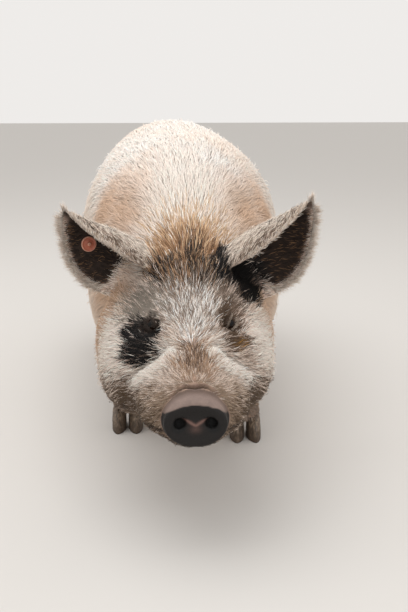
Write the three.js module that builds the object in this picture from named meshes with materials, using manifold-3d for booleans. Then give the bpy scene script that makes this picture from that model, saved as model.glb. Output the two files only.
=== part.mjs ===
// A life-size kunekune-type pig that stands with its head lowered, as a still museum model.
// Millimetres, +Z up, snout towards -Y, the animal's left towards +X.
// The origin is on the floor, under the centre of the animal's box.

import * as THREE from 'three';
import { mergeVertices } from 'three/addons/utils/BufferGeometryUtils.js';
import Module from 'manifold-3d';

const wasm = await Module();
wasm.setup();

// Driving dimensions. Distances named "y" run backwards from the front of the snout disc.
const GAP = 0.4; // clearance between neighbouring pieces
const SPINE_SWAY = -14; // how far the hips stand to the animal's right of its shoulders
const SECTION_POWER = { above: 2, below: 2.5 }; // two is an ellipse, more is boxier
const EAR_DROP = 14; // how much lower the right ear's tip hangs than the left one's
const EYE_RADIUS = 12;
const EAR_WIDTH = { left: 156, right: 147 }; // unrolled, for the shares in EAR_LEAF
const HOOF_HEIGHT = 44;
const TAG_RADIUS = 11;
const TAG_PLACE = { u: 0.61, v: 0.37 }; // share of the right ear's length and of its width

// Where the sections of the body are cut into nodes, along the spine.
const SNOUT_CUT_Y = 20;
const HEAD_CUT_Y = 272;
const NECK_CUT_Y = 424;

// The body's outline without limbs: height of the top line, the bottom line and the widest
// level, and half the width there.
const OUTLINE = [
  { at: 'disc', y: 0, top: 248, bottom: 173, widest: 211, half: 47 },
  { at: 'nostrils', y: 22, top: 255, bottom: 166, widest: 212, half: 49 },
  { at: 'muzzle', y: 57, top: 272, bottom: 161, widest: 220, half: 53 },
  { at: 'bridge', y: 94, top: 292, bottom: 162, widest: 233, half: 57 },
  { at: 'dish', y: 125, top: 311, bottom: 166, widest: 251, half: 62 },
  { at: 'brow', y: 162, top: 343, bottom: 169, widest: 269, half: 74 },
  { at: 'forehead', y: 212, top: 393, bottom: 172, widest: 293, half: 92 },
  { at: 'poll', y: 262, top: 433, bottom: 178, widest: 312, half: 110 },
  { at: 'nape', y: 322, top: 474, bottom: 185, widest: 325, half: 128 },
  { at: 'neck', y: 392, top: 518, bottom: 185, widest: 335, half: 146 },
  { at: 'withers', y: 492, top: 559, bottom: 164, widest: 340, half: 166 },
  { at: 'ribs', y: 612, top: 575, bottom: 142, widest: 346, half: 196 },
  { at: 'barrel', y: 742, top: 577, bottom: 130, widest: 354, half: 216 },
  { at: 'belly', y: 862, top: 581, bottom: 128, widest: 356, half: 215 },
  { at: 'loin', y: 962, top: 587, bottom: 142, widest: 364, half: 202 },
  { at: 'hips', y: 1052, top: 583, bottom: 180, widest: 390, half: 182 },
  { at: 'rump', y: 1132, top: 556, bottom: 236, widest: 408, half: 152 },
  { at: 'tail', y: 1188, top: 513, bottom: 300, widest: 412, half: 108 },
  { at: 'seat', y: 1218, top: 466, bottom: 360, widest: 414, half: 56 },
];

// Fat, muscle and bone that stand out from the outline, as ellipsoids on one side of the body.
// The other side mirrors them. "pitch" raises the back of a mass, in degrees, and "lean" moves
// both of a pair towards the animal's right: its face hangs fuller on that side.
const MASSES = [
  { name: 'jaw', at: [32, 85, 193], size: [48, 59, 35], pitch: -4, blend: 22 },
  { name: 'chin', at: [0, 45, 177], size: [36, 27, 22], pitch: 0, blend: 16 },
  { name: 'lip', at: [40, 74, 219], size: [46, 45, 34], pitch: 8, blend: 20 },
  { name: 'cheek', at: [80, 168, 248], size: [54, 62, 64], pitch: 0, blend: 44, lean: 7 },
  { name: 'jowl', at: [66, 198, 216], size: [70, 76, 66], pitch: 0, blend: 40, lean: 7 },
  { name: 'jowlBack', at: [90, 254, 261], size: [60, 63, 86], pitch: 0, blend: 40, lean: 7 },
  { name: 'browRidge', at: [46, 162, 325], size: [22, 31, 17], pitch: 34, blend: 18 },
  { name: 'crest', at: [0, 240, 407], size: [52, 41, 22], pitch: 40, blend: 30 },
  { name: 'shoulder', at: [98, 502, 304], size: [84, 112, 156], pitch: 8, blend: 60 },
  { name: 'upperArm', at: [108, 486, 237], size: [52, 66, 66], pitch: 0, blend: 50 },
  { name: 'brisket', at: [0, 402, 230], size: [84, 90, 62], pitch: 0, blend: 60 },
  { name: 'ham', at: [92, 1058, 322], size: [86, 128, 160], pitch: -8, blend: 60 },
  { name: 'thigh', at: [112, 1054, 250], size: [54, 84, 68], pitch: 0, blend: 50 },
  { name: 'flank', at: [120, 932, 250], size: [70, 90, 90], pitch: 0, blend: 60 },
];

// Hollows pressed into the flesh.
const HOLLOWS = [
  { name: 'eyeSocket', at: [80, 146, 317], size: [20, 22, 14], pitch: 28, blend: 18 },
  { name: 'temple', at: [98, 204, 362], size: [20, 23, 26], pitch: 40, blend: 26 },
];

// Each leg runs down through these joints: sideways and backwards place, height, and the half
// sizes across and along the body.
const FORE_LEG = [
  { at: 'shoulder', x: 96, y: 478, z: 290, across: 58, along: 84 },
  { at: 'elbow', x: 112, y: 488, z: 214, across: 50, along: 62 },
  { at: 'forearm', x: 116, y: 480, z: 166, across: 38, along: 42 },
  { at: 'knee', x: 116, y: 470, z: 126, across: 32, along: 33 },
  { at: 'cannon', x: 116, y: 472, z: 94, across: 26, along: 27 },
  { at: 'fetlock', x: 116, y: 470, z: 66, across: 30, along: 31 },
  { at: 'coronet', x: 116, y: 458, z: HOOF_HEIGHT + GAP, across: 31, along: 33 },
];
const HIND_LEG = [
  { at: 'thigh', x: 100, y: 1036, z: 300, across: 62, along: 100 },
  { at: 'stifle', x: 114, y: 1054, z: 236, across: 50, along: 76 },
  { at: 'gaskin', x: 118, y: 1092, z: 192, across: 36, along: 50 },
  { at: 'hock', x: 118, y: 1114, z: 152, across: 30, along: 40 },
  { at: 'cannon', x: 118, y: 1112, z: 106, across: 26, along: 29 },
  { at: 'fetlock', x: 118, y: 1102, z: 68, across: 30, along: 32 },
  { at: 'coronet', x: 118, y: 1088, z: HOOF_HEIGHT + GAP, across: 31, along: 34 },
];

// How far each foot stands ahead of (-) or behind (+) its place above, in a slow walk's halt.
const STRIDE = { fore_left: -26, fore_right: 30, hind_left: 22, hind_right: -34 };

const EYE = new THREE.Vector3(60, 160, 309);
const EAR_ROOT = new THREE.Vector3(58, 266, 365); // inside the head
const EAR_BEND = new THREE.Vector3(159, 294, 398);
const EAR_TIP = new THREE.Vector3(201, 236, 495);
const EAR_LEAF = [
  { u: 0, width: 1.0 },
  { u: 0.17, width: 1.1 },
  { u: 0.33, width: 1.14 },
  { u: 0.5, width: 1.08 },
  { u: 0.67, width: 0.86 },
  { u: 0.83, width: 0.51 },
  { u: 0.93, width: 0.27 },
  { u: 1, width: 0.04 },
]; // the ear's unrolled width from root to tip, as shares of EAR_WIDTH
const EAR_OPENS = new THREE.Vector3(-0.2, -0.96, -0.05); // the way the ear's cup faces

const COLOURS = {
  coat: ['#e9dccb', 0.85],
  faceCoat: ['#cbb9a3', 0.85],
  earCoat: ['#b9a793', 0.85],
  snoutSkin: ['#4a4242', 0.45],
  eye: ['#1b130e', 0.1],
  hoof: ['#3b332c', 0.55],
  tag: ['#c2452c', 0.4],
};

// ---------------------------------------------------------------- fields

const outline = new THREE.CubicInterpolant(
  OUTLINE.map((row) => row.y),
  OUTLINE.flatMap((row) => [row.top, row.bottom, row.widest, row.half]),
  4,
);

/** Distance from a point to the body's outline, roughly, and negative inside. */
function outlineDistance(p) {
  const last = OUTLINE[OUTLINE.length - 1].y;
  const [top, bottom, widest, half] = outline.evaluate(THREE.MathUtils.clamp(p.y, 0, last));
  const rise = p.z > widest ? top - widest : widest - bottom;
  const across = p.x / half;
  const upwards = Math.abs(p.z - widest) / rise;
  const n = p.z > widest ? SECTION_POWER.above : SECTION_POWER.below;
  const ratio = (across ** n + upwards ** n) ** (1 / n);
  if (ratio < 1e-6) return -Math.min(half, rise);
  const slope = Math.hypot(across ** (n - 1) / half, upwards ** (n - 1) / rise);
  const section = ((ratio - 1) * ratio ** (n - 1)) / slope;
  return Math.max(section, p.y - last);
}

/** Distance from a point to a tilted ellipsoid, roughly, and negative inside. */
function ellipsoidDistance(p, { at, size, pitch }) {
  const turn = THREE.MathUtils.degToRad(pitch);
  const y = p.y - at[1];
  const z = p.z - at[2];
  const local = [
    p.x - at[0],
    y * Math.cos(turn) + z * Math.sin(turn),
    z * Math.cos(turn) - y * Math.sin(turn),
  ];
  const ratio = Math.hypot(...local.map((v, i) => v / size[i]));
  const slope = Math.hypot(...local.map((v, i) => v / size[i] ** 2));
  return ratio < 1e-6 ? -Math.min(...size) : (ratio * (ratio - 1)) / slope;
}

/** The smaller of two distances, rounded where they meet over the width k. */
function join(a, b, k) {
  const near = Math.max(k - Math.abs(a - b), 0) / k;
  return Math.min(a, b) - (near * near * k) / 4;
}

/** How far the middle of the body stands to the animal's left, at one place along it. */
function sway(y) {
  return SPINE_SWAY * THREE.MathUtils.smoothstep(y, 752, 1052);
}

/** Distance to the flesh of trunk, neck and head together. */
function flesh(point) {
  const { y, z } = point;
  const x = point.x - sway(y);
  const p = { x: Math.abs(x), y, z };
  let distance = outlineDistance(p);
  for (const mass of MASSES) {
    const beside = { x: Math.abs(x + (mass.lean ?? 0)), y, z };
    distance = join(distance, ellipsoidDistance(beside, mass), mass.blend);
  }
  for (const hollow of HOLLOWS) {
    distance = -join(-distance, ellipsoidDistance(p, hollow), hollow.blend);
  }
  return distance;
}

/** How far from a start the flesh's surface lies along a direction, "proud" of it if asked. */
function reach(start, direction, proud) {
  const step = 6;
  const point = new THREE.Vector3();
  const outside = (t) => flesh(point.copy(start).addScaledVector(direction, t)) > proud;
  let far = 0;
  while (!outside(far) && far < 400) far += step;
  let near = Math.max(far - step, 0);
  for (let i = 0; i < 14; i += 1) {
    const middle = (near + far) / 2;
    if (outside(middle)) far = middle;
    else near = middle;
  }
  return near;
}

// ---------------------------------------------------------------- meshes and solids

/** A closed geometry through rings of points, with a flat end or a point at each end. */
function skinOver(rings, firstTip, lastTip) {
  const count = rings[0].length;
  const centre = (ring) =>
    ring.reduce((sum, p) => sum.add(p), new THREE.Vector3()).divideScalar(count);
  const points = rings.flat();
  const first = points.push(firstTip ?? centre(rings[0])) - 1;
  const last = points.push(lastTip ?? centre(rings[rings.length - 1])) - 1;
  const faces = [];
  for (let i = 0; i < count; i += 1) {
    const next = (i + 1) % count;
    faces.push(first, next, i);
    for (let r = 0; r + 1 < rings.length; r += 1) {
      const a = r * count + i;
      const b = r * count + next;
      faces.push(a, b, b + count, a, b + count, a + count);
    }
    const end = (rings.length - 1) * count;
    faces.push(last, end + i, end + next);
  }
  const geometry = new THREE.BufferGeometry().setFromPoints(points);
  geometry.setIndex(faces);
  return geometry;
}

/** A three.js geometry as a solid that can be cut, turned the right way out. */
function solidOf(geometry) {
  const bare = geometry.index ? geometry.toNonIndexed() : geometry.clone();
  bare.deleteAttribute('normal');
  bare.deleteAttribute('uv');
  const merged = mergeVertices(bare, 1e-3);
  const triVerts = new Uint32Array(merged.index.array);
  const vertProperties = merged.attributes.position.array;
  const solid = new wasm.Manifold(new wasm.Mesh({ numProp: 3, vertProperties, triVerts }));
  if (solid.volume() > 0) return solid;
  return new wasm.Manifold(
    new wasm.Mesh({ numProp: 3, vertProperties, triVerts: triVerts.reverse() }),
  );
}

/** A solid back as a three.js geometry. */
function geometryOf(solid) {
  const { vertProperties, triVerts } = solid.getMesh();
  const geometry = new THREE.BufferGeometry();
  geometry.setAttribute('position', new THREE.BufferAttribute(vertProperties, 3));
  geometry.setIndex(new THREE.BufferAttribute(triVerts, 1));
  geometry.computeVertexNormals();
  return geometry;
}

/** The largest body of a solid: a cut can leave slivers. */
function mainBody(solid) {
  return solid.decompose().sort((a, b) => b.volume() - a.volume())[0];
}

/** An ellipsoid solid, optionally turned. */
function ball(centre, radii, turn = [0, 0, 0], detail = 12) {
  const geometry = new THREE.SphereGeometry(1, detail * 2, detail);
  geometry.scale(...radii);
  geometry.applyMatrix4(
    new THREE.Matrix4().makeRotationFromEuler(
      new THREE.Euler(...turn.map(THREE.MathUtils.degToRad)),
    ),
  );
  geometry.translate(centre.x, centre.y, centre.z);
  return solidOf(geometry);
}

const root = new THREE.Group();

/** Adds one named node with its finish. */
function addNode(name, solid, finish) {
  const [color, roughness] = COLOURS[finish];
  const material = new THREE.MeshStandardMaterial({ color, roughness, metalness: 0 });
  const clean = mainBody(solidOf(geometryOf(solid))); // without the specks a cut can leave
  const mesh = new THREE.Mesh(geometryOf(clean), material);
  mesh.name = name;
  root.add(mesh);
  return mesh;
}

// ---------------------------------------------------------------- trunk, neck and head

const spine = new THREE.CatmullRomCurve3(
  [
    [0, 212],
    [55, 215],
    [101, 228],
    [162, 248],
    [232, 279],
    [312, 317],
    [402, 340],
    [512, 350],
    [732, 354],
    [952, 372],
    [1092, 398],
    [1212, 414],
  ].map(([y, z]) => new THREE.Vector3(0, y, z)),
);

/** The place on the spine whose y is the one asked for, as a share of its length. */
function spineAt(y) {
  let low = 0;
  let high = 1;
  for (let i = 0; i < 24; i += 1) {
    const middle = (low + high) / 2;
    if (spine.getPointAt(middle).y < y) low = middle;
    else high = middle;
  }
  return (low + high) / 2;
}

/** One section of the flesh, square to the spine, as a ring of points. */
function section(share, count, proud, shift = 0) {
  const tangent = spine.getTangentAt(share);
  const centre = spine.getPointAt(share).addScaledVector(tangent, shift);
  const side = new THREE.Vector3(1, 0, 0);
  const up = new THREE.Vector3().crossVectors(side, tangent).normalize();
  return Array.from({ length: count }, (_, i) => {
    const angle = (2 * Math.PI * i) / count;
    const direction = side
      .clone()
      .multiplyScalar(Math.cos(angle))
      .addScaledVector(up, Math.sin(angle));
    return centre.clone().addScaledVector(direction, reach(centre, direction, proud));
  });
}

/** The sections of one length of the flesh; they crowd towards a closed end. */
function sectionsOf({ from, to, sections, closed = false }, proud) {
  const start = spineAt(from);
  const end = spineAt(to);
  return Array.from({ length: sections + 1 }, (_, i) => {
    const t = i / sections;
    const eased = closed ? 1 - (1 - t) ** 1.35 : t;
    const shift = (i === 0 ? GAP / 2 : 0) - (i === sections && !closed ? GAP / 2 : 0);
    return section(THREE.MathUtils.lerp(start, end, eased), RING, proud, shift);
  });
}

/** Where the flesh ends behind, beyond the last section of the trunk. */
function seat(proud) {
  const share = spineAt(TRUNK.to);
  const tangent = spine.getTangentAt(share);
  const centre = spine.getPointAt(share);
  return centre.clone().addScaledVector(tangent, reach(centre, tangent, proud));
}

const RING = 32; // points round every section
const TRUNK = { from: NECK_CUT_Y, to: 1210, sections: 18, closed: true };
const NECK = { from: HEAD_CUT_Y, to: NECK_CUT_Y, sections: 4 };
const HEAD = { from: SNOUT_CUT_Y, to: HEAD_CUT_Y, sections: 19 };

const trunk = solidOf(skinOver(sectionsOf(TRUNK, 0), undefined, seat(0)));
const neck = solidOf(skinOver(sectionsOf(NECK, 0)));
const head = solidOf(skinOver(sectionsOf(HEAD, 0)));

// What limbs and ears are cut to, so that they meet the flesh with a small clearance.
const fleshCutter = solidOf(
  skinOver([HEAD, NECK, TRUNK].flatMap((length) => sectionsOf(length, GAP)), undefined, seat(GAP)),
);

// ---------------------------------------------------------------- mouth, eyes and snout

/** A thin upright sheet right through the head along a path of [y, z] points. */
function cutAlong(path) {
  const shape = new THREE.Shape();
  const lifted = path.map(([y, z]) => [y, z + GAP]);
  [...path, ...lifted.reverse()].forEach(([y, z], i) =>
    i ? shape.lineTo(y, z) : shape.moveTo(y, z),
  );
  const width = 400;
  const sheet = new THREE.ExtrudeGeometry(shape, { depth: width, bevelEnabled: false });
  sheet.applyMatrix4(
    new THREE.Matrix4().makeBasis(
      new THREE.Vector3(0, 1, 0),
      new THREE.Vector3(0, 0, 1),
      new THREE.Vector3(1, 0, 0),
    ),
  );
  sheet.translate(-width / 2, 0, 0);
  return solidOf(sheet);
}

/** The head in two pieces: the skull and upper lip, and the lower jaw below the mouth. */
function headAndJaw(whole) {
  const mouth = cutAlong([
    [0, 171],
    [38, 178],
    [74, 195],
    [104, 204],
    [125, 197],
    [141, 158],
    [145, 69],
  ]);
  const pieces = whole.subtract(mouth).decompose();
  pieces.sort((a, b) => b.volume() - a.volume());
  return pieces;
}

/** The open slit between the lids, in front of an eye on one side. */
function lidOpening(side) {
  return ball(new THREE.Vector3(side * (EYE.x + 12), EYE.y - 6, EYE.z + 3), [16, 10, 7], [
    30, 0, side * 32,
  ], 6);
}

/** The eyeball on one side. */
function eyeball(side, proud = 0) {
  const radius = EYE_RADIUS + proud;
  return ball(new THREE.Vector3(side * EYE.x, EYE.y, EYE.z), [radius, radius, radius], [0, 0, 0], 6);
}

/** The snout disc: a flared rim, a slightly hollow face and two slanting nostrils. */
function snout() {
  const count = 26;
  const start = section(spineAt(SNOUT_CUT_Y), count, 0, -GAP / 2);
  const levels = [
    { y: 13, half: 46.5, top: 249, bottom: 170 },
    { y: 7, half: 47, top: 244, bottom: 170 },
    { y: 2.5, half: 46.5, top: 240, bottom: 171 },
    { y: 0, half: 43.5, top: 234, bottom: 174 },
    { y: 0.6, half: 40, top: 229, bottom: 178 },
    { y: 2.6, half: 28, top: 222, bottom: 186 },
    { y: 3.2, half: 12, top: 212, bottom: 198 },
  ];
  const rings = levels.map(({ y, half, top, bottom }) =>
    start.map((_, i) => {
      const angle = (2 * Math.PI * i) / count;
      return new THREE.Vector3(
        half * Math.cos(angle),
        y,
        (top + bottom) / 2 + ((top - bottom) / 2) * Math.sin(angle),
      );
    }),
  );
  let solid = solidOf(skinOver([start, ...rings]));
  for (const side of [-1, 1]) {
    const nostril = new THREE.Vector3(side * 22, 3, 208);
    solid = solid.subtract(ball(nostril, [10, 14, 9], [0, side * 20, side * -10], 6));
  }
  return mainBody(solid);
}

let sockets = head;
for (const side of [-1, 1]) {
  sockets = sockets.subtract(eyeball(side, GAP)).subtract(lidOpening(side));
}
const [skull, jaw] = headAndJaw(mainBody(sockets));

addNode('trunk', trunk, 'coat');
addNode('neck', neck, 'coat');
addNode('head', skull, 'faceCoat');
addNode('lower_jaw', jaw, 'faceCoat');
addNode('snout', snout(), 'snoutSkin');
addNode('eye_left', eyeball(1), 'eye');
addNode('eye_right', eyeball(-1), 'eye');

// ---------------------------------------------------------------- ears and tag

/** The ear's back line and the frame across it, on the animal's left side. */
const earLine = new THREE.QuadraticBezierCurve3(EAR_ROOT, EAR_BEND, EAR_TIP);

const earLeaf = new THREE.CubicInterpolant(
  EAR_LEAF.map((row) => row.u),
  EAR_LEAF.map((row) => row.width),
  1,
);

/** How far the ear has rolled over, going from its lower margin (0) to its upper one (1). */
function earRoll(v) {
  const degrees =
    -42 + 40 * THREE.MathUtils.smoothstep(v, 0, 0.5) + 166 * THREE.MathUtils.smoothstep(v, 0.49, 0.95);
  return THREE.MathUtils.degToRad(degrees);
}

/** The ear's cross-section for an unrolled width of one: places and directions out of its back. */
const EAR_SECTION = (() => {
  const steps = 120;
  const places = [[0, 0]];
  for (let i = 0; i < steps; i += 1) {
    const roll = earRoll((i + 0.5) / steps);
    const [up, forward] = places[i];
    places.push([up + Math.cos(roll) / steps, forward + Math.sin(roll) / steps]);
  }
  const [up0, forward0] = places[Math.round(steps * 0.42)]; // the bottom of the cup
  return (v) => {
    const [up, forward] = places[Math.round(v * steps)];
    return { up: up - up0, forward: forward - forward0, roll: earRoll(v) };
  };
})();

/** A point of the ear: u runs from root to tip, v from the lower margin (0) to the upper (1). */
function earPoint(u, v, layer, side) {
  const along = earLine.getTangent(u);
  const opens = EAR_OPENS.clone().addScaledVector(along, -EAR_OPENS.dot(along)).normalize();
  const up = new THREE.Vector3().crossVectors(opens, along);
  const width = (side < 0 ? EAR_WIDTH.right : EAR_WIDTH.left) * earLeaf.evaluate(u)[0];
  const { up: rise, forward, roll } = EAR_SECTION(v);
  const outwards = up
    .clone()
    .multiplyScalar(Math.sin(roll))
    .addScaledVector(opens, -Math.cos(roll));
  const rim = 1 - 0.5 * Math.abs(2 * v - 1) ** 4;
  const thickness = Math.min(THREE.MathUtils.lerp(11, 5, Math.min(u * 1.6, 1)), width / 9) * rim;
  const drop = side < 0 ? EAR_DROP * u * u : 0;
  const point = earLine
    .getPoint(u)
    .sub(new THREE.Vector3(0, 0, drop))
    .addScaledVector(up, rise * width)
    .addScaledVector(opens, forward * width)
    .addScaledVector(outwards, (layer * thickness) / 2);
  return { point: mirrored(point, side), outwards: mirrored(outwards, side) };
}

/** A point or direction on the left side of the animal, moved to the side asked for. */
function mirrored(p, side) {
  return new THREE.Vector3(side * p.x, p.y, p.z);
}

/** One ear as a cupped leaf with a rounded rim. */
function earShell(side) {
  const lengths = 11;
  const columns = 11;
  const rings = Array.from({ length: lengths + 1 }, (_, i) => {
    const u = i / lengths;
    const back = Array.from({ length: columns + 1 }, (__, j) => [j / columns, 1]);
    const front = back.map(([v]) => [1 - v, -1]);
    return [...back, ...front].map(([v, layer]) => earPoint(u, v, layer, side).point);
  });
  return solidOf(skinOver(rings));
}

/** A button tag through the right ear: a disc on each face of the ear and a pin between. */
function tag(proud) {
  const { point, outwards } = earPoint(TAG_PLACE.u, TAG_PLACE.v, 0, -1);
  const profile = [
    [0, -10 - proud],
    [4, -10 - proud],
    [5, -8 - proud],
    [TAG_RADIUS - 1, -7.4 - proud],
    [TAG_RADIUS + proud, -6.2 - proud],
    [TAG_RADIUS + proud, -4.6 + proud],
    [2.4 + proud, -4.6 + proud],
    [2.4 + proud, 4.6 - proud],
    [TAG_RADIUS + 2 + proud, 4.6 - proud],
    [TAG_RADIUS + 1 + proud, 7 + proud],
    [0, 7.4 + proud],
  ].map(([radius, height]) => new THREE.Vector2(radius, height));
  const turned = new THREE.LatheGeometry(profile, 16);
  const up = new THREE.Vector3(0, 1, 0);
  turned.applyQuaternion(new THREE.Quaternion().setFromUnitVectors(up, outwards));
  turned.translate(point.x, point.y, point.z);
  return solidOf(turned);
}

/** One ear, open in front and fitted to the head and neck. */
function ear(side) {
  const shell = mainBody(earShell(side).subtract(fleshCutter));
  return side < 0 ? mainBody(shell.subtract(tag(GAP))) : shell;
}

addNode('ear_left', ear(1), 'earCoat');
addNode('ear_right', ear(-1), 'earCoat');
addNode('ear_tag', tag(0), 'tag');

// ---------------------------------------------------------------- legs and feet

/** A leg through its joints, with its top fitted to the trunk. */
function leg(joints, side, stride) {
  const count = 14;
  const top = joints[0].z;
  const sections = 12;
  const sizes = new THREE.CubicInterpolant(
    joints.map((j) => top - j.z),
    joints.flatMap((j) => [j.x, j.y, j.across, j.along]),
    4,
  );
  const rings = Array.from({ length: sections + 1 }, (_, i) => {
    const fall = (top - HOOF_HEIGHT - GAP) * (i / sections);
    const [x, y, across, along] = sizes.evaluate(fall);
    const step = stride * THREE.MathUtils.smoothstep(fall, 0, top - HOOF_HEIGHT);
    return Array.from({ length: count }, (__, j) => {
      const angle = (2 * Math.PI * j) / count;
      return new THREE.Vector3(
        side * x + sway(y) + across * Math.cos(angle),
        y + step + along * Math.sin(angle),
        top - fall,
      );
    });
  });
  return mainBody(solidOf(skinOver(rings)).subtract(fleshCutter));
}

/** One toe's horn, flat underneath, pointed in front and sloping back to the coronet. */
function toeHorn(foot, side) {
  const count = 12;
  const levels = [
    { z: 0, across: 14.6, along: 33, y: -8 },
    { z: 10, across: 15.2, along: 32.5, y: -6 },
    { z: 28, across: 14.8, along: 29, y: -2 },
    { z: HOOF_HEIGHT, across: 13.6, along: 24, y: 3 },
  ];
  const rings = levels.map(({ z, across, along, y }) =>
    Array.from({ length: count }, (_, i) => {
      const angle = (2 * Math.PI * i) / count;
      const point = Math.max(-Math.sin(angle), 0) ** 2; // narrows the front of the toe
      return new THREE.Vector3(
        foot.x + side * (16.4 + 2 * point) + across * Math.cos(angle) * (1 - 0.35 * point),
        foot.y + y + along * Math.sin(angle),
        z,
      );
    }),
  );
  return solidOf(skinOver(rings));
}

/** A cloven hoof: two toes, joined only by a web high in the cleft. */
function hoof(foot) {
  const web = ball(new THREE.Vector3(foot.x, foot.y + 8, HOOF_HEIGHT - 9), [9, 15, 8], [0, 0, 0], 4);
  return toeHorn(foot, -1).add(toeHorn(foot, 1)).add(web);
}

/** A small dew claw behind the fetlock, clear of the floor. */
function dewclaw(foot, side, proud = 0) {
  const centre = new THREE.Vector3(foot.x + side * 16, foot.y + 39, 58);
  return ball(centre, [8.5 + proud, 10 + proud, 15 + proud], [-28, 0, 0], 4);
}

const TOES = { inner: -1, outer: 1 };
for (const [name, stride] of Object.entries(STRIDE)) {
  const side = name.endsWith('left') ? 1 : -1;
  const joints = name.startsWith('fore') ? FORE_LEG : HIND_LEG;
  const coronet = joints[joints.length - 1];
  const foot = { x: side * coronet.x + sway(coronet.y), y: coronet.y + stride };
  let limb = leg(joints, side, stride);
  for (const [toe, place] of Object.entries(TOES)) {
    limb = mainBody(limb.subtract(dewclaw(foot, side * place, GAP + 0.6)));
    addNode(`dewclaw_${name}_${toe}`, dewclaw(foot, side * place), 'hoof');
  }
  addNode(`leg_${name}`, limb, 'coat');
  addNode(`hoof_${name}`, hoof(foot), 'hoof');
}

// ---------------------------------------------------------------- tail

/** A length of the tail between two shares of its curve. */
function tailLength(from, to, sections) {
  const curve = new THREE.CatmullRomCurve3(
    [
      [0, 1168, 488],
      [0, 1212, 478],
      [2, 1234, 440],
      [10, 1236, 388],
      [24, 1234, 342],
      [28, 1244, 306],
      [14, 1258, 290],
      [-4, 1254, 300],
    ].map(([x, y, z]) => new THREE.Vector3(x + SPINE_SWAY, y, z)),
  );
  const count = 10;
  const frames = curve.computeFrenetFrames(60);
  const rings = Array.from({ length: sections + 1 }, (_, i) => {
    const share = THREE.MathUtils.lerp(from, to, i / sections);
    const k = Math.round(share * 60);
    const radius = THREE.MathUtils.lerp(20, 6, Math.sqrt(share));
    return Array.from({ length: count }, (__, j) => {
      const angle = (2 * Math.PI * j) / count;
      return curve
        .getPointAt(k / 60)
        .addScaledVector(frames.normals[k], radius * Math.cos(angle))
        .addScaledVector(frames.binormals[k], radius * Math.sin(angle));
    });
  });
  return solidOf(skinOver(rings));
}

addNode('tail_base', mainBody(tailLength(0, 0.5, 8).subtract(fleshCutter)), 'coat');
addNode('tail_tip', tailLength(31 / 60, 1, 9), 'coat');

// ---------------------------------------------------------------- origin

const box = new THREE.Box3().setFromObject(root);
const middle = box.getCenter(new THREE.Vector3());
root.children.forEach((mesh) => mesh.geometry.translate(-middle.x, -middle.y, -box.min.z));

export default root;
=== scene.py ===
"""Dresses the standing pig: one skin with its markings, a coat of hair tufts, eyes, hooves and an ear tag.

Metres, +Z up, snout towards -Y, the animal's left towards +X, as in the CAD frame.
"""

import logging
import math
from collections.abc import Sequence
from dataclasses import dataclass, field, replace
from enum import IntEnum

import bmesh
import bpy
import numpy as np
from bpy.types import Material, Mesh, Node, NodeSocket, NodeTree, Object
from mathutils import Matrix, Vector
from mathutils.bvhtree import BVHTree


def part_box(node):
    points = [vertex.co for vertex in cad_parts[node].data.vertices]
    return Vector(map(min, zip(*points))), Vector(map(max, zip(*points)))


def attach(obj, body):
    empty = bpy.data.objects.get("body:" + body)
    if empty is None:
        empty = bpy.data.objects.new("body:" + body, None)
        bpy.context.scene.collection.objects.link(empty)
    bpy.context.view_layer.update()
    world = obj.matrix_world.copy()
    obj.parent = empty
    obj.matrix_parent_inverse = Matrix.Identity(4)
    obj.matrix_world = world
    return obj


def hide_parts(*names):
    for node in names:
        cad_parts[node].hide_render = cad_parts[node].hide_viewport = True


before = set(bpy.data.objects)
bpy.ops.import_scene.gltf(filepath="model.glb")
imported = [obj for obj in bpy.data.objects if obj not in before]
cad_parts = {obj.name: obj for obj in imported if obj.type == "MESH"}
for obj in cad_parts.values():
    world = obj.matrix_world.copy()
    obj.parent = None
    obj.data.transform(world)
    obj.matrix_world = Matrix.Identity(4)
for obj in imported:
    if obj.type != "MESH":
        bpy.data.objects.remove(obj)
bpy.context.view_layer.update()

LOG = logging.getLogger("pig")
UP = np.array((0.0, 0.0, 1.0))
Array = np.ndarray
Place = tuple[float, float, float]
DISC_UP = 0.202  # the height of the middle of the snout disc
SIDES = {"left": 1, "right": -1}
FEET = ((-0.12, 0.49), (-0.13, 1.05), (0.12, 0.43), (0.11, 1.11))  # fore and hind, first the right ones


# ---------------------------------------------------------------- fields over points

def ramp(value: Array | float, low: float, high: float) -> Array | float:
    """A smooth ramp from 0 at low to 1 at high; low may be above high."""
    t = np.clip((value - low) / (high - low), 0.0, 1.0)
    return t * t * (3.0 - 2.0 * t)


def unit(vectors: Array) -> Array:
    """The same directions with a length of one."""
    return vectors / np.maximum(np.linalg.norm(vectors, axis=-1, keepdims=True), 1e-12)


def along_surface(directions: Array, normals: Array) -> Array:
    """Directions laid flat on the surface that has these normals, with a length of one."""
    lean = np.sum(directions * normals, axis=1, keepdims=True)
    return unit(directions - normals * lean)


def linear(code: str) -> Array:
    """A colour code such as "#c9a48c" as linear red, green and blue."""
    share = np.array([int(code[i : i + 2], 16) for i in (1, 3, 5)]) / 255
    return np.where(share <= 0.04045, share / 12.92, ((share + 0.055) / 1.055) ** 2.4)


def mixed(first: Array, second: Array, share: Array) -> Array:
    """Rows of the first, each with its own share of the second."""
    return first * (1 - share[:, None]) + second * share[:, None]


def mirrored(place: Sequence[float]) -> tuple[float, ...]:
    """The place on the other side of the body."""
    return (-place[0], *place[1:])


def faded(count: int, start: float, end: float = 0.25) -> Array:
    """Shares along a path of this many points, which fade to 0 towards both ends."""
    along = np.linspace(0, 1, count)
    return ramp(along, 0, start) * ramp(1 - along, 0, end)


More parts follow.
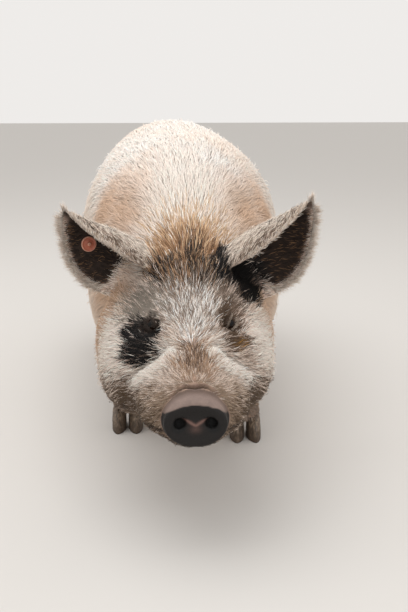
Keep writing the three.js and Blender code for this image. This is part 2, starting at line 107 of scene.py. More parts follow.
class Ripple:
    """Smooth seeded noise, about -1 to 1: waves of about one length in random directions."""

    def __init__(self, length: float, seed: int, waves: int = 14) -> None:
        """Draws the waves.

        Args:
            length: the usual distance from crest to crest, in metres.
            seed: the seed of the draw.
            waves: how many waves are added up.
        """
        rng = np.random.default_rng(seed)
        heading = unit(rng.normal(size=(waves, 3)))
        self.waves = heading * (2 * np.pi / length) * rng.uniform(0.6, 1.5, (waves, 1))
        self.phases = rng.uniform(0, 2 * np.pi, waves)

    def __call__(self, points: Array) -> Array:
        """The noise at each point."""
        total = np.sin(points @ self.waves.T + self.phases).sum(axis=1)
        return total / math.sqrt(len(self.phases))


@dataclass(frozen=True)
class Blot:
    """A soft-edged, slightly ragged ellipsoid in which a marking holds."""

    centre: Place
    radii: Place
    edge: float = 0.3
    ragged: float = 0.0

    def share(self, points: Array, ripple: Ripple) -> Array:
        """How far each point is inside, from 0 to 1.

        Args:
            points: places as the animal's own: sideways, back from the snout, and height.
            ripple: noise that makes the edge ragged.

        Returns:
            One share for each point.
        """
        distance = np.linalg.norm((points - self.centre) / np.array(self.radii), axis=1)
        if self.ragged:
            distance = distance + self.ragged * ripple(points)
        return 1.0 - ramp(distance, 1.0 - self.edge, 1.0 + self.edge)


# ---------------------------------------------------------------- the animal's places

class Part(IntEnum):
    """The named parts of the body, in the order of their labels."""

    TRUNK = 0
    NECK = 1
    HEAD = 2
    JAW = 3
    SNOUT = 4
    EAR = 5
    LEG = 6
    TAIL = 7


FLESH = {
    "trunk": Part.TRUNK, "neck": Part.NECK, "head": Part.HEAD, "lower_jaw": Part.JAW, "snout": Part.SNOUT,
    "ear_left": Part.EAR, "ear_right": Part.EAR, "tail_base": Part.TAIL, "tail_tip": Part.TAIL,
    "leg_fore_left": Part.LEG, "leg_fore_right": Part.LEG,
    "leg_hind_left": Part.LEG, "leg_hind_right": Part.LEG,
}


class Anatomy:
    """Where things are on this animal, read from the frame.

    Its own places are written as (sideways, back, up), in metres: to the left of the snout's middle, back
    from the front of the snout disc, and above the floor.
    """

    def __init__(self) -> None:
        """Reads the boxes of the snout, the eyes and the ears, and the flesh for nearest-part questions."""
        low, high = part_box("snout")
        self.origin = np.array(((low.x + high.x) / 2, low.y, 0.0))
        self.eyes = {side: self.middle(f"eye_{side}") for side in SIDES}
        self.eye_radius = (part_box("eye_left")[1].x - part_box("eye_left")[0].x) / 2
        points, faces, self.labels = [], [], []
        for name, part in FLESH.items():
            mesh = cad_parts[name].data
            start = len(points)
            points += [v.co.copy() for v in mesh.vertices]
            faces += [[start + i for i in p.vertices] for p in mesh.polygons]
            self.labels += [part] * len(mesh.polygons)
        self.flesh = BVHTree.FromPolygons(points, faces)
        self.ears = {side: self.ear_cup(side) for side in SIDES}

    @staticmethod
    def middle(node: str) -> Array:
        """The middle of a CAD node's box."""
        low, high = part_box(node)
        return np.array((low + high) / 2)

    def own(self, points: Array) -> Array:
        """Points of the scene as the animal's own places."""
        return points - self.origin

    def scene(self, *place: float) -> Array:
        """One of the animal's own places as a point of the scene."""
        return np.array(place) + self.origin

    def on_side(self, points: Array, side: str) -> Array:
        """True for the points of the scene that lie on one side of the animal."""
        return (points[:, 0] > self.origin[0]) == (side == "left")

    def part_of(self, points: Array) -> Array:
        """The label of the part nearest to each point."""
        return np.array([self.labels[self.flesh.find_nearest(p)[2]] for p in points])

    @staticmethod
    def ear_cup(side: str) -> "EarCup":
        """The line through the hollow of one ear."""
        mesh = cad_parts[f"ear_{side}"].data
        return EarCup(np.array([v.co[:] for v in mesh.vertices]), SIDES[side])


class EarCup:
    """The hollow of an ear: a bent line from its root to its tip that the inner face looks at."""

    HEADING = (0.62, -0.12, 0.78)  # root to tip, on the left ear
    FACES = (-0.2, -0.96, -0.05)  # the way its cup opens
    DEEP = 0.004  # how far the line is moved out of the cup
    FACING = 0.12  # the inner face looks at the line at least this much

    def __init__(self, points: Array, side: int) -> None:
        """Fits the line to the ear's own points.

        Args:
            points: the ear's vertices.
            side: 1 for the left ear, -1 for the right one.
        """
        mirror = np.array((side, 1, 1))
        self.heading = unit(np.array(self.HEADING)) * mirror
        self.opens = unit(along_surface(np.array([self.FACES]) * mirror, self.heading[None])[0])
        self.across = np.cross(self.opens, self.heading) * side
        reach = points @ self.heading
        self.start, self.end = reach.min(), reach.max()
        self.bends = [np.polyfit(reach, points[:, axis], 2) for axis in range(3)]

    def share(self, points: Array) -> Array:
        """How far each point is from the root (0) to the tip (1)."""
        return np.clip((points @ self.heading - self.start) / (self.end - self.start), 0, 1)

    def line(self, points: Array) -> Array:
        """The point of the hollow's line at each point's height along the ear."""
        reach = points @ self.heading
        return np.stack([np.polyval(bend, reach) for bend in self.bends], axis=1)

    def inner(self, points: Array, normals: Array) -> Array:
        """True where the surface looks into the ear's hollow."""
        towards = unit(self.line(points) + self.opens * self.DEEP - points)
        return np.sum(towards * normals, axis=1) > self.FACING


# ---------------------------------------------------------------- meshes as arrays

class Cage:
    """A mesh as arrays, for moves of many vertices at once."""

    def __init__(self, mesh: Mesh) -> None:
        """Reads a mesh.

        Args:
            mesh: the mesh, of any polygons.
        """
        count = len(mesh.vertices)
        self.mesh = mesh
        flat = np.empty(count * 3)
        mesh.vertices.foreach_get("co", flat)
        self.points = flat.reshape(-1, 3)
        mesh.calc_loop_triangles()
        corners = np.empty(len(mesh.loop_triangles) * 3, dtype=np.int64)
        mesh.loop_triangles.foreach_get("vertices", corners)
        self.faces = corners.reshape(-1, 3)
        sides = np.empty(len(mesh.edges) * 2, dtype=np.int64)
        mesh.edges.foreach_get("vertices", sides)
        sides = sides.reshape(-1, 2)
        self.ends = np.concatenate((sides[:, 0], sides[:, 1]))
        self.others = np.concatenate((sides[:, 1], sides[:, 0]))
        self.degree = np.maximum(np.bincount(self.ends, minlength=count), 1)

    def blurred(self, values: Array, rounds: int, share: Array | float = 1.0) -> Array:
        """Values averaged with their neighbours' again and again.

        Args:
            values: one number, or a row of them, for each vertex.
            rounds: how many times.
            share: how far each vertex goes towards its neighbours' mean in a round, halved.

        Returns:
            The smoothed values.
        """
        columns = values.reshape(len(values), -1).copy()
        step = 0.5 * np.broadcast_to(share, len(values))
        for _ in range(rounds):
            for column in columns.T:
                mean = np.bincount(self.ends, column[self.others], len(column)) / self.degree
                column += (mean - column) * step
        return columns.reshape(values.shape)

    def normals(self) -> Array:
        """The outward directions.

        Returns:
            One direction for each vertex.
        """
        a, b, c = (self.points[self.faces[:, i]] for i in range(3))
        crossed = np.cross(b - a, c - a)
        total = np.zeros_like(self.points)
        for corner in self.faces.T:
            for axis in range(3):
                total[:, axis] += np.bincount(corner, crossed[:, axis], len(total))
        return unit(total)

    def write(self) -> None:
        """Puts the points back into the mesh."""
        self.mesh.vertices.foreach_set("co", self.points.ravel())
        self.mesh.update()


def evaluated(piece: Object) -> Mesh:
    """The mesh of a piece with its modifiers applied."""
    return bpy.data.meshes.new_from_object(piece.evaluated_get(bpy.context.evaluated_depsgraph_get()))


def linked(name: str, mesh: Mesh) -> Object:
    """Puts a mesh into the scene.

    Args:
        name: the name of the piece.
        mesh: its mesh.

    Returns:
        The new object.
    """
    mesh.name = name
    piece = bpy.data.objects.new(name, mesh)
    bpy.context.scene.collection.objects.link(piece)
    return piece


def set_mesh(piece: Object, mesh: Mesh) -> None:
    """Changes a piece's mesh for another, and drops its modifiers.

    Args:
        piece: the piece.
        mesh: the mesh that it gets.
    """
    old = piece.data
    piece.modifiers.clear()
    piece.data = mesh
    bpy.data.meshes.remove(old)
    mesh.name = piece.name


def shade_smooth(mesh: Mesh) -> None:
    """Smooth shading on every face."""
    mesh.polygons.foreach_set("use_smooth", np.ones(len(mesh.polygons), dtype=bool))


def store_colour(mesh: Mesh, name: str, colours: Array) -> None:
    """Keeps colours as an attribute.

    Args:
        mesh: the mesh.
        name: the attribute's name.
        colours: one linear colour for each vertex.
    """
    layer = mesh.attributes.new(name, "FLOAT_COLOR", "POINT")
    rgba = np.ones((len(colours), 4))
    rgba[:, :3] = colours
    layer.data.foreach_set("color", rgba.ravel())


def store_value(mesh: Mesh, name: str, values: Array) -> None:
    """Keeps one number for each vertex as an attribute."""
    mesh.attributes.new(name, "FLOAT", "POINT").data.foreach_set("value", np.asarray(values, dtype=float))


# ---------------------------------------------------------------- the skin

@dataclass(frozen=True)
class Crease:
    """A fold pressed into the skin along a path; a negative depth raises a ridge instead."""

    path: tuple[Place, ...]
    width: float
    depth: float
    lips: float = 0.35  # how high the skin rises on both sides, as a share of the depth


def both_sides(*creases: Crease) -> tuple[Crease, ...]:
    """Each crease and its mirror image."""
    return (*creases, *(replace(one, path=tuple(map(mirrored, one.path))) for one in creases))


@dataclass(frozen=True)
class Ridge:
    """A raised fold along a path, with a hollow on one side of it."""

    path: tuple[Place, ...]
    beyond: Place  # from the ridge to the hollow
    width: float = 0.0105
    height: float = 0.0085
    hollow: float = 0.0095
    hollow_width: float = 0.018


# from the bridge outwards and down over the lip, in front of the eye
RIDGE = Ridge(
    ((0.020, 0.102, 0.292), (0.033, 0.096, 0.284), (0.049, 0.091, 0.268), (0.067, 0.090, 0.255),
     (0.086, 0.092, 0.239), (0.096, 0.098, 0.226)),
    (0.25, 0.80, 0.55),
)
RIDGES = (RIDGE, replace(RIDGE, path=tuple(map(mirrored, RIDGE.path)), beyond=mirrored(RIDGE.beyond)))

CREASES = (
    # over the snout, where the disc's bare rim meets the muzzle
    Crease(((-0.040, 0.026, 0.230), (-0.027, 0.0255, 0.2485), (-0.013, 0.0255, 0.2580),
            (0.000, 0.0225, 0.2550), (0.012, 0.0255, 0.2580), (0.027, 0.0255, 0.2485), (0.040, 0.026, 0.230)),
           0.0034, 0.0070, 0.6),
    Crease(((-0.030, 0.040, 0.258), (0.0, 0.036, 0.267), (0.030, 0.040, 0.258)), 0.0034, 0.0016, 0.6),
    Crease(((-0.022, 0.054, 0.270), (0.002, 0.050, 0.276), (0.024, 0.055, 0.270)), 0.0034, 0.0012, 0.6),
    # over the bridge, between the eyes
    Crease(((-0.026, 0.124, 0.306), (0.0, 0.116, 0.305), (0.024, 0.124, 0.306)), 0.004, 0.0022),
    Crease(((-0.030, 0.138, 0.322), (0.002, 0.134, 0.320), (0.030, 0.139, 0.322)), 0.004, 0.0015),
    *both_sides(
        # across the muzzle, below the ridges
        Crease(((0.012, 0.072, 0.279), (0.034, 0.070, 0.266), (0.056, 0.072, 0.246)), 0.0040, 0.0016),
        Crease(((0.040, 0.050, 0.246), (0.060, 0.056, 0.226), (0.076, 0.066, 0.208)), 0.0045, 0.0020),
        # under and behind the eye
        Crease(((0.060, 0.132, 0.288), (0.078, 0.142, 0.284), (0.094, 0.164, 0.292)), 0.0034, 0.0022),
        Crease(((0.088, 0.176, 0.312), (0.104, 0.190, 0.306), (0.114, 0.206, 0.296)), 0.004, 0.0022),
        # from the corner of the mouth back under the cheek
        Crease(((0.044, 0.026, 0.190), (0.078, 0.056, 0.186), (0.098, 0.092, 0.186),
                (0.108, 0.130, 0.196)), 0.005, 0.0065),
        # the hollow between neck and shoulder
        Crease(((0.078, 0.338, 0.458), (0.108, 0.400, 0.462), (0.142, 0.474, 0.452)), 0.022, 0.0070),
        # behind the jowl and behind the elbow
        Crease(((0.128, 0.250, 0.330), (0.142, 0.262, 0.270), (0.126, 0.276, 0.200)), 0.010, 0.0050),
        Crease(((0.196, 0.530, 0.300), (0.190, 0.520, 0.220), (0.160, 0.500, 0.160)), 0.012, 0.0050),
        Crease(((0.196, 1.010, 0.330), (0.188, 0.985, 0.250), (0.150, 0.975, 0.190)), 0.014, 0.0060),
    ),
)


@dataclass(frozen=True)
class Lids:
    """The lids of one eye, as a shell round the eyeball with a narrow slit.

    Directions are those of the left eye: the gaze, and the slit from its inner to its outer corner.
    """

    gaze: Place = (0.46, -0.84, 0.29)
    slit: Place = (0.42, 0.52, 0.74)
    half_length: float = 0.84  # as shares of the eyeball's radius
    half_height: float = 0.25
    skin: float = 0.0024  # over the eyeball
    hidden: float = 0.0050  # how far the skin lies behind the eyeball's face inside the slit
    sunk: float = 0.0040  # how far the eyeball lies behind the middle of its node
    full: float = 1.20  # up to this angle from the gaze the skin lies on the eyeball
    reach: float = 1.80  # beyond this one it is left as it is
    pivot: float = 1.25  # how far behind the eyeball's middle the skin is drawn in from, in radii
    near: float = 2.6  # how far the work reaches, in radii
    rim: float = 0.0009
    crease: float = 0.0013
    bag: float = 0.0012

    def centre(self, middle: Array, side: int) -> Array:
        """The middle of the eyeball behind the lids."""
        return middle - unit(np.array(self.gaze) * (side, 1, 1)) * self.sunk

    def slit_middle(self, middle: Array, radius: float, side: int) -> Array:
        """The middle of the slit, on the eyeball's face."""
        return self.centre(middle, side) + unit(np.array(self.gaze) * (side, 1, 1)) * radius

    def axes(self, side: int) -> tuple[Array, Array, Array]:
        """The directions of the lids.

        Args:
            side: 1 for the left eye, -1 for the right one.

        Returns:
            The gaze, the slit's direction and the one across it, towards the upper lid.
        """
        mirror = np.array((side, 1, 1))
        gaze = unit(np.array(self.gaze) * mirror)
        slit = along_surface(np.array([self.slit]) * mirror, gaze[None])[0]
        return gaze, slit, np.cross(gaze, slit) * side

    @staticmethod
    def line(along: Array) -> Array:
        """How far the slit's middle line bows, as a share of the radius."""
        return 0.10 * along**2 - 0.04

    def height(self, along: Array) -> Array:
        """Half of the slit's height along it, as a share of the radius."""
        return self.half_height * np.maximum(1 - (along / self.half_length) ** 2, 0) ** 0.8

    def mould(self, cage: Cage, middle: Array, radius: float, side: int) -> None:
        """Moves the skin round one eye.

        Args:
            cage: the skin.
            middle: the middle of the eye's node.
            radius: the eyeball's radius.
            side: 1 for the left eye, -1 for the right one.
        """
        gaze, slit, rise = self.axes(side)
        centre = self.centre(middle, side)
        pivot = centre - gaze * radius * self.pivot
        near = np.nonzero(np.linalg.norm(cage.points - centre, axis=1) < self.near * radius)[0]
        ray = unit(cage.points[near] - pivot)
        back = ray @ (pivot - centre)
        space = back**2 - (self.pivot**2 - 1) * radius**2
        on_ball = pivot + ray * (np.sqrt(np.maximum(space, 0)) - back)[:, None]
        outward = unit(on_ball - centre)
        along, above, ahead = outward @ slit, outward @ rise, outward @ gaze
        angle = np.arccos(np.clip(ahead, -1, 1))
        held = (1 - ramp(angle, self.full, self.reach)) * (space > 0)
        height, line = self.height(along), self.line(along)
        off, bow = above - line, 0.25 * along**2
        open_share = 1 - ramp(np.abs(off), height - 0.05, height + 0.03)
        open_share = np.where((ahead > 0) & (np.abs(along) < self.half_length), open_share, 0)
        rim = np.exp(-(((np.abs(off) - height - 0.09) / 0.08) ** 2)) * (np.abs(along) < 0.9)
        crease = np.exp(-(((off - 0.46 + bow) / 0.07) ** 2))
        bag = np.exp(-(((off + 0.44 - bow) / 0.07) ** 2))
        pleats = 0.5 * np.sin(15 * (above - 0.35 * along**2)) * ramp(np.abs(off), 0.28, 0.42)
        shell = self.skin + self.rim * (rim + pleats) - self.crease * crease - self.bag * bag
        shell = shell * (1 - open_share) - self.hidden * open_share
        placed = on_ball + outward * shell[:, None]
        cage.points[near] += (placed - cage.points[near]) * held[:, None]


@dataclass
class Skin:
    """The one skin that stands for every node of flesh and lies inside it by the coat's depth."""

    anatomy: Anatomy
    voxel: float = 0.003
    overlap: float = 0.001  # how far the parts are swollen, so that they merge
    kept: float = 0.33  # share of the triangles that the thinning leaves
    smoothing: dict[Part, float] = field(default_factory=lambda: {
        Part.TRUNK: 1.0, Part.NECK: 0.9, Part.HEAD: 0.36, Part.JAW: 0.36, Part.SNOUT: 0.03,
        Part.EAR: 0.06, Part.LEG: 0.22, Part.TAIL: 0.08,
    })
    depth: dict[Part, float] = field(default_factory=lambda: {
        Part.TRUNK: 0.0085, Part.NECK: 0.0075, Part.HEAD: 0.0035, Part.JAW: 0.0035, Part.SNOUT: 0.0002,
        Part.EAR: 0.0012, Part.LEG: 0.0030, Part.TAIL: 0.0030,
    })
    dirty_depth: float = 0.004  # creases of this depth get the full painted shade
    fine_snout: float = 0.034  # how far back from the disc the triangles are halved
    fine_eye: float = 0.026  # and how far round each eye
    lids: Lids = Lids()

    def joined_flesh(self) -> Mesh:
        """Joins all nodes of flesh, each swollen a little so that neighbours overlap.

        Returns:
            One mesh of overlapping shells.
        """
        whole = bmesh.new()
        for name in FLESH:
            part = bmesh.new()
            part.from_mesh(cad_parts[name].data)
            bmesh.ops.remove_doubles(part, verts=part.verts, dist=1e-5)
            part.normal_update()
            for vertex in part.verts:
                vertex.co += vertex.normal * self.overlap
            swollen = bpy.data.meshes.new(name)
            part.to_mesh(swollen)
            part.free()
            whole.from_mesh(swollen)
            bpy.data.meshes.remove(swollen)
        mesh = bpy.data.meshes.new("flesh")
        whole.to_mesh(mesh)
        whole.free()
        return mesh

    def merge(self, piece: Object) -> None:
        """Turns overlapping parts into one closed surface.

        Args:
            piece: the joined flesh.
        """
        remesh = piece.modifiers.new("merge", "REMESH")
        remesh.mode = "VOXEL"
        remesh.voxel_size = self.voxel
        set_mesh(piece, evaluated(piece))

    def soften(self, piece: Object) -> Array:
        """Rounds off the facets and draws the skin in by the coat's depth.

        Args:
            piece: the merged skin.

        Returns:
            For each vertex, how much of its detail is to stay when the mesh is thinned.
        """
        cage = Cage(piece.data)
        parts = self.anatomy.part_of(cage.points)
        smoothing, depth = (
            np.array([table[part] for part in Part])[parts] for table in (self.smoothing, self.depth)
        )
        share = cage.blurred(smoothing, 10)
        cage.points = cage.blurred(cage.points, 70, share)
        cage.points -= cage.normals() * (cage.blurred(depth, 24) + self.overlap)[:, None]
        cage.points = cage.blurred(cage.points, 2, np.where(parts == Part.SNOUT, 0.3, 0.7))
        cage.write()
        keep = {Part.TRUNK: 0.0, Part.NECK: 0.1}
        return cage.blurred(np.array([keep.get(part, 1.0) for part in Part])[parts], 6)

    def thin(self, piece: Object, keep: Array) -> None:
        """Takes triangles out of the trunk, where the coat hides the skin.

        Args:
            piece: the skin.
            keep: how much of its detail each vertex keeps, from 0 to 1.
        """
        group = piece.vertex_groups.new(name="keep")
        for level in (0.25, 0.5, 0.75, 1.0):
            chosen = np.nonzero((keep > level - 0.25) & (keep <= level))[0]
            group.add(chosen.tolist(), level, "REPLACE")
        fewer = piece.modifiers.new("thin", "DECIMATE")
        fewer.ratio = self.kept
        fewer.vertex_group = group.name
        fewer.invert_vertex_group = True
        fewer.vertex_group_factor = 1.0
        fewer.use_collapse_triangulate = True
        set_mesh(piece, evaluated(piece))
        piece.vertex_groups.clear()

    def refine(self, piece: Object) -> None:
        """Halves the triangles round the eyes and on the snout.

        Args:
            piece: the skin.
        """
        mesh = bmesh.new()
        mesh.from_mesh(piece.data)
        eyes = [Vector(eye) for eye in self.anatomy.eyes.values()]
        chosen = [
            edge for edge in mesh.edges
            if edge.verts[0].co.y - self.anatomy.origin[1] < self.fine_snout
            or min((edge.verts[0].co - eye).length for eye in eyes) < self.fine_eye
        ]
        bmesh.ops.subdivide_edges(mesh, edges=chosen, cuts=1)
        bmesh.ops.triangulate(mesh, faces=[face for face in mesh.faces if len(face.verts) > 3])
        mesh.to_mesh(piece.data)
        mesh.free()

    def laid_path(self, places: Sequence[Place], surface: BVHTree) -> Array:
        """Lays a smooth path on the skin.

        Args:
            places: its knots, as the animal's own places.
            surface: the skin.

        Returns:
            The path's points in the scene.
        """
        knots = np.array([self.anatomy.scene(*place) for place in places])
        at = np.linspace(0, len(knots) - 1, 8 * len(knots))
        path = np.stack([np.interp(at, np.arange(len(knots)), knots[:, axis]) for axis in range(3)], axis=1)
        path[1:-1] = (path[:-2] + 2 * path[1:-1] + path[2:]) / 4
        return np.array([surface.find_nearest(point)[0] for point in path])

    @staticmethod
    def beside(cage: Cage, path: Array, reach: float) -> tuple[Array, Array, Array]:
        """Finds the vertices near a path.

        Args:
            cage: the skin.
            path: the path's points.
            reach: how far beyond the path's box they may lie.

        Returns:
            The vertices, how far each is from the path, and which of the path's points is nearest.
        """
        inside = (cage.points > path.min(0) - reach) & (cage.points < path.max(0) + reach)
        near = np.nonzero(np.all(inside, axis=1))[0]
        gaps = np.linalg.norm(cage.points[near, None] - path[None], axis=2)
        closest = gaps.argmin(axis=1)
        return near, gaps[np.arange(len(near)), closest], closest

    def fold(self, cage: Cage, crease: Crease, surface: BVHTree, grime: Array) -> None:
        """Presses one crease into the skin.

        Args:
            cage: the skin.
            crease: the fold.
            surface: the skin before it was folded.
            grime: painted shade for each vertex, which grows in the bottom of the fold.
        """
        path = self.laid_path(crease.path, surface)
        near, gap, closest = self.beside(cage, path, 3 * crease.width)
        ends, gap = faded(len(path), 0.25)[closest], gap / crease.width
        profile = -np.exp(-(gap**2)) + crease.lips * np.exp(-(((gap - 1.7) / 0.7) ** 2))
        cage.points[near] += cage.normals()[near] * (profile * crease.depth * ends)[:, None]
        # painted shade in the bottom of the fold, fullest in the deepest creases
        fold_darkness = np.exp(-((gap / 0.9) ** 2)) * ends * min(1.0, crease.depth / self.dirty_depth)
        grime[near] = np.maximum(grime[near], fold_darkness)

    def raise_ridge(self, cage: Cage, ridge: Ridge, surface: BVHTree) -> None:
        """Raises one ridge and sinks the hollow beside it.

        Args:
            cage: the skin.
            ridge: the ridge.
            surface: the skin before it was folded.
        """
        path = self.laid_path(ridge.path, surface)
        near, gap, closest = self.beside(cage, path, 3.2 * ridge.hollow_width)
        side = ramp((cage.points[near] - path[closest]) @ unit(np.array(ridge.beyond)), 0.0, 0.006)
        crest = np.exp(-((gap / ridge.width) ** 2)) * ridge.height
        far = (gap / ridge.hollow_width) ** 2
        sunk = side * ridge.hollow * far * np.exp(1 - far)
        raised = (crest - sunk) * faded(len(path), 0.2)[closest]
        cage.points[near] += cage.normals()[near] * raised[:, None]

    def carve(self, piece: Object) -> None:
        """Makes the ridges, the folds and the lids.

        Args:
            piece: the skin.
        """
        cage = Cage(piece.data)
        surface = BVHTree.FromPolygons(cage.points.tolist(), cage.faces.tolist())
        for ridge in RIDGES:
            self.raise_ridge(cage, ridge, surface)
        grime = np.zeros(len(cage.points))
        for crease in CREASES:
            self.fold(cage, crease, surface, grime)
        for side, sign in SIDES.items():
            self.lids.mould(cage, self.anatomy.eyes[side], self.anatomy.eye_radius, sign)
        cage.write()
        # the folds' painted shade, kept for the skin's finish
        store_value(piece.data, "grime", grime)

    def build(self) -> Object:
        """Makes the skin.

        Returns:
            The piece, without its finish.
        """
        piece = linked("skin", self.joined_flesh())
        self.merge(piece)
        self.thin(piece, self.soften(piece))
        self.refine(piece)
        self.carve(piece)
        shade_smooth(piece.data)
        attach(piece, "root")
        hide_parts(*FLESH)
        return piece


# ---------------------------------------------------------------- the markings, with painted shade and a painted highlight

@dataclass(frozen=True)
class Mark:
    """A marking in the coat and on the skin under it; a few of them are painted shade, and one a painted
    highlight.
    """

    name: str
    blots: tuple[Blot, ...]
    hair: str
    skin: str
    strength: float = 1.0
    flecked: bool = True  # single hairs take the colour, in place of all hairs taking some of it
    ears: bool = False  # it reaches onto the ears

    def share(self, places: Array, ripple: Ripple) -> Array:
        """How strongly the mark holds at each place, from 0 to 1."""
        return self.strength * np.max([blot.share(places, ripple) for blot in self.blots], axis=0)


def both(*blots: Blot) -> tuple[Blot, ...]:
    """Each blot and its mirror image."""
    return (*blots, *(replace(blot, centre=mirrored(blot.centre)) for blot in blots))


CREAM, WHITE, BLACK = "#f5e4d6", "#f9f2ec", "#0f0d0c"
FLESH_PINK, DARK_SKIN = "#cdae98", "#2b2725"
# the first is painted shade inside the ears' hollows; the others are the ears' own pale skin on the back and
# at the rim
EAR_HOLLOW_SHADE, EAR_BACK_SKIN, EAR_RIM_SKIN = "#32261f", "#b5a294", "#c4aa9b"
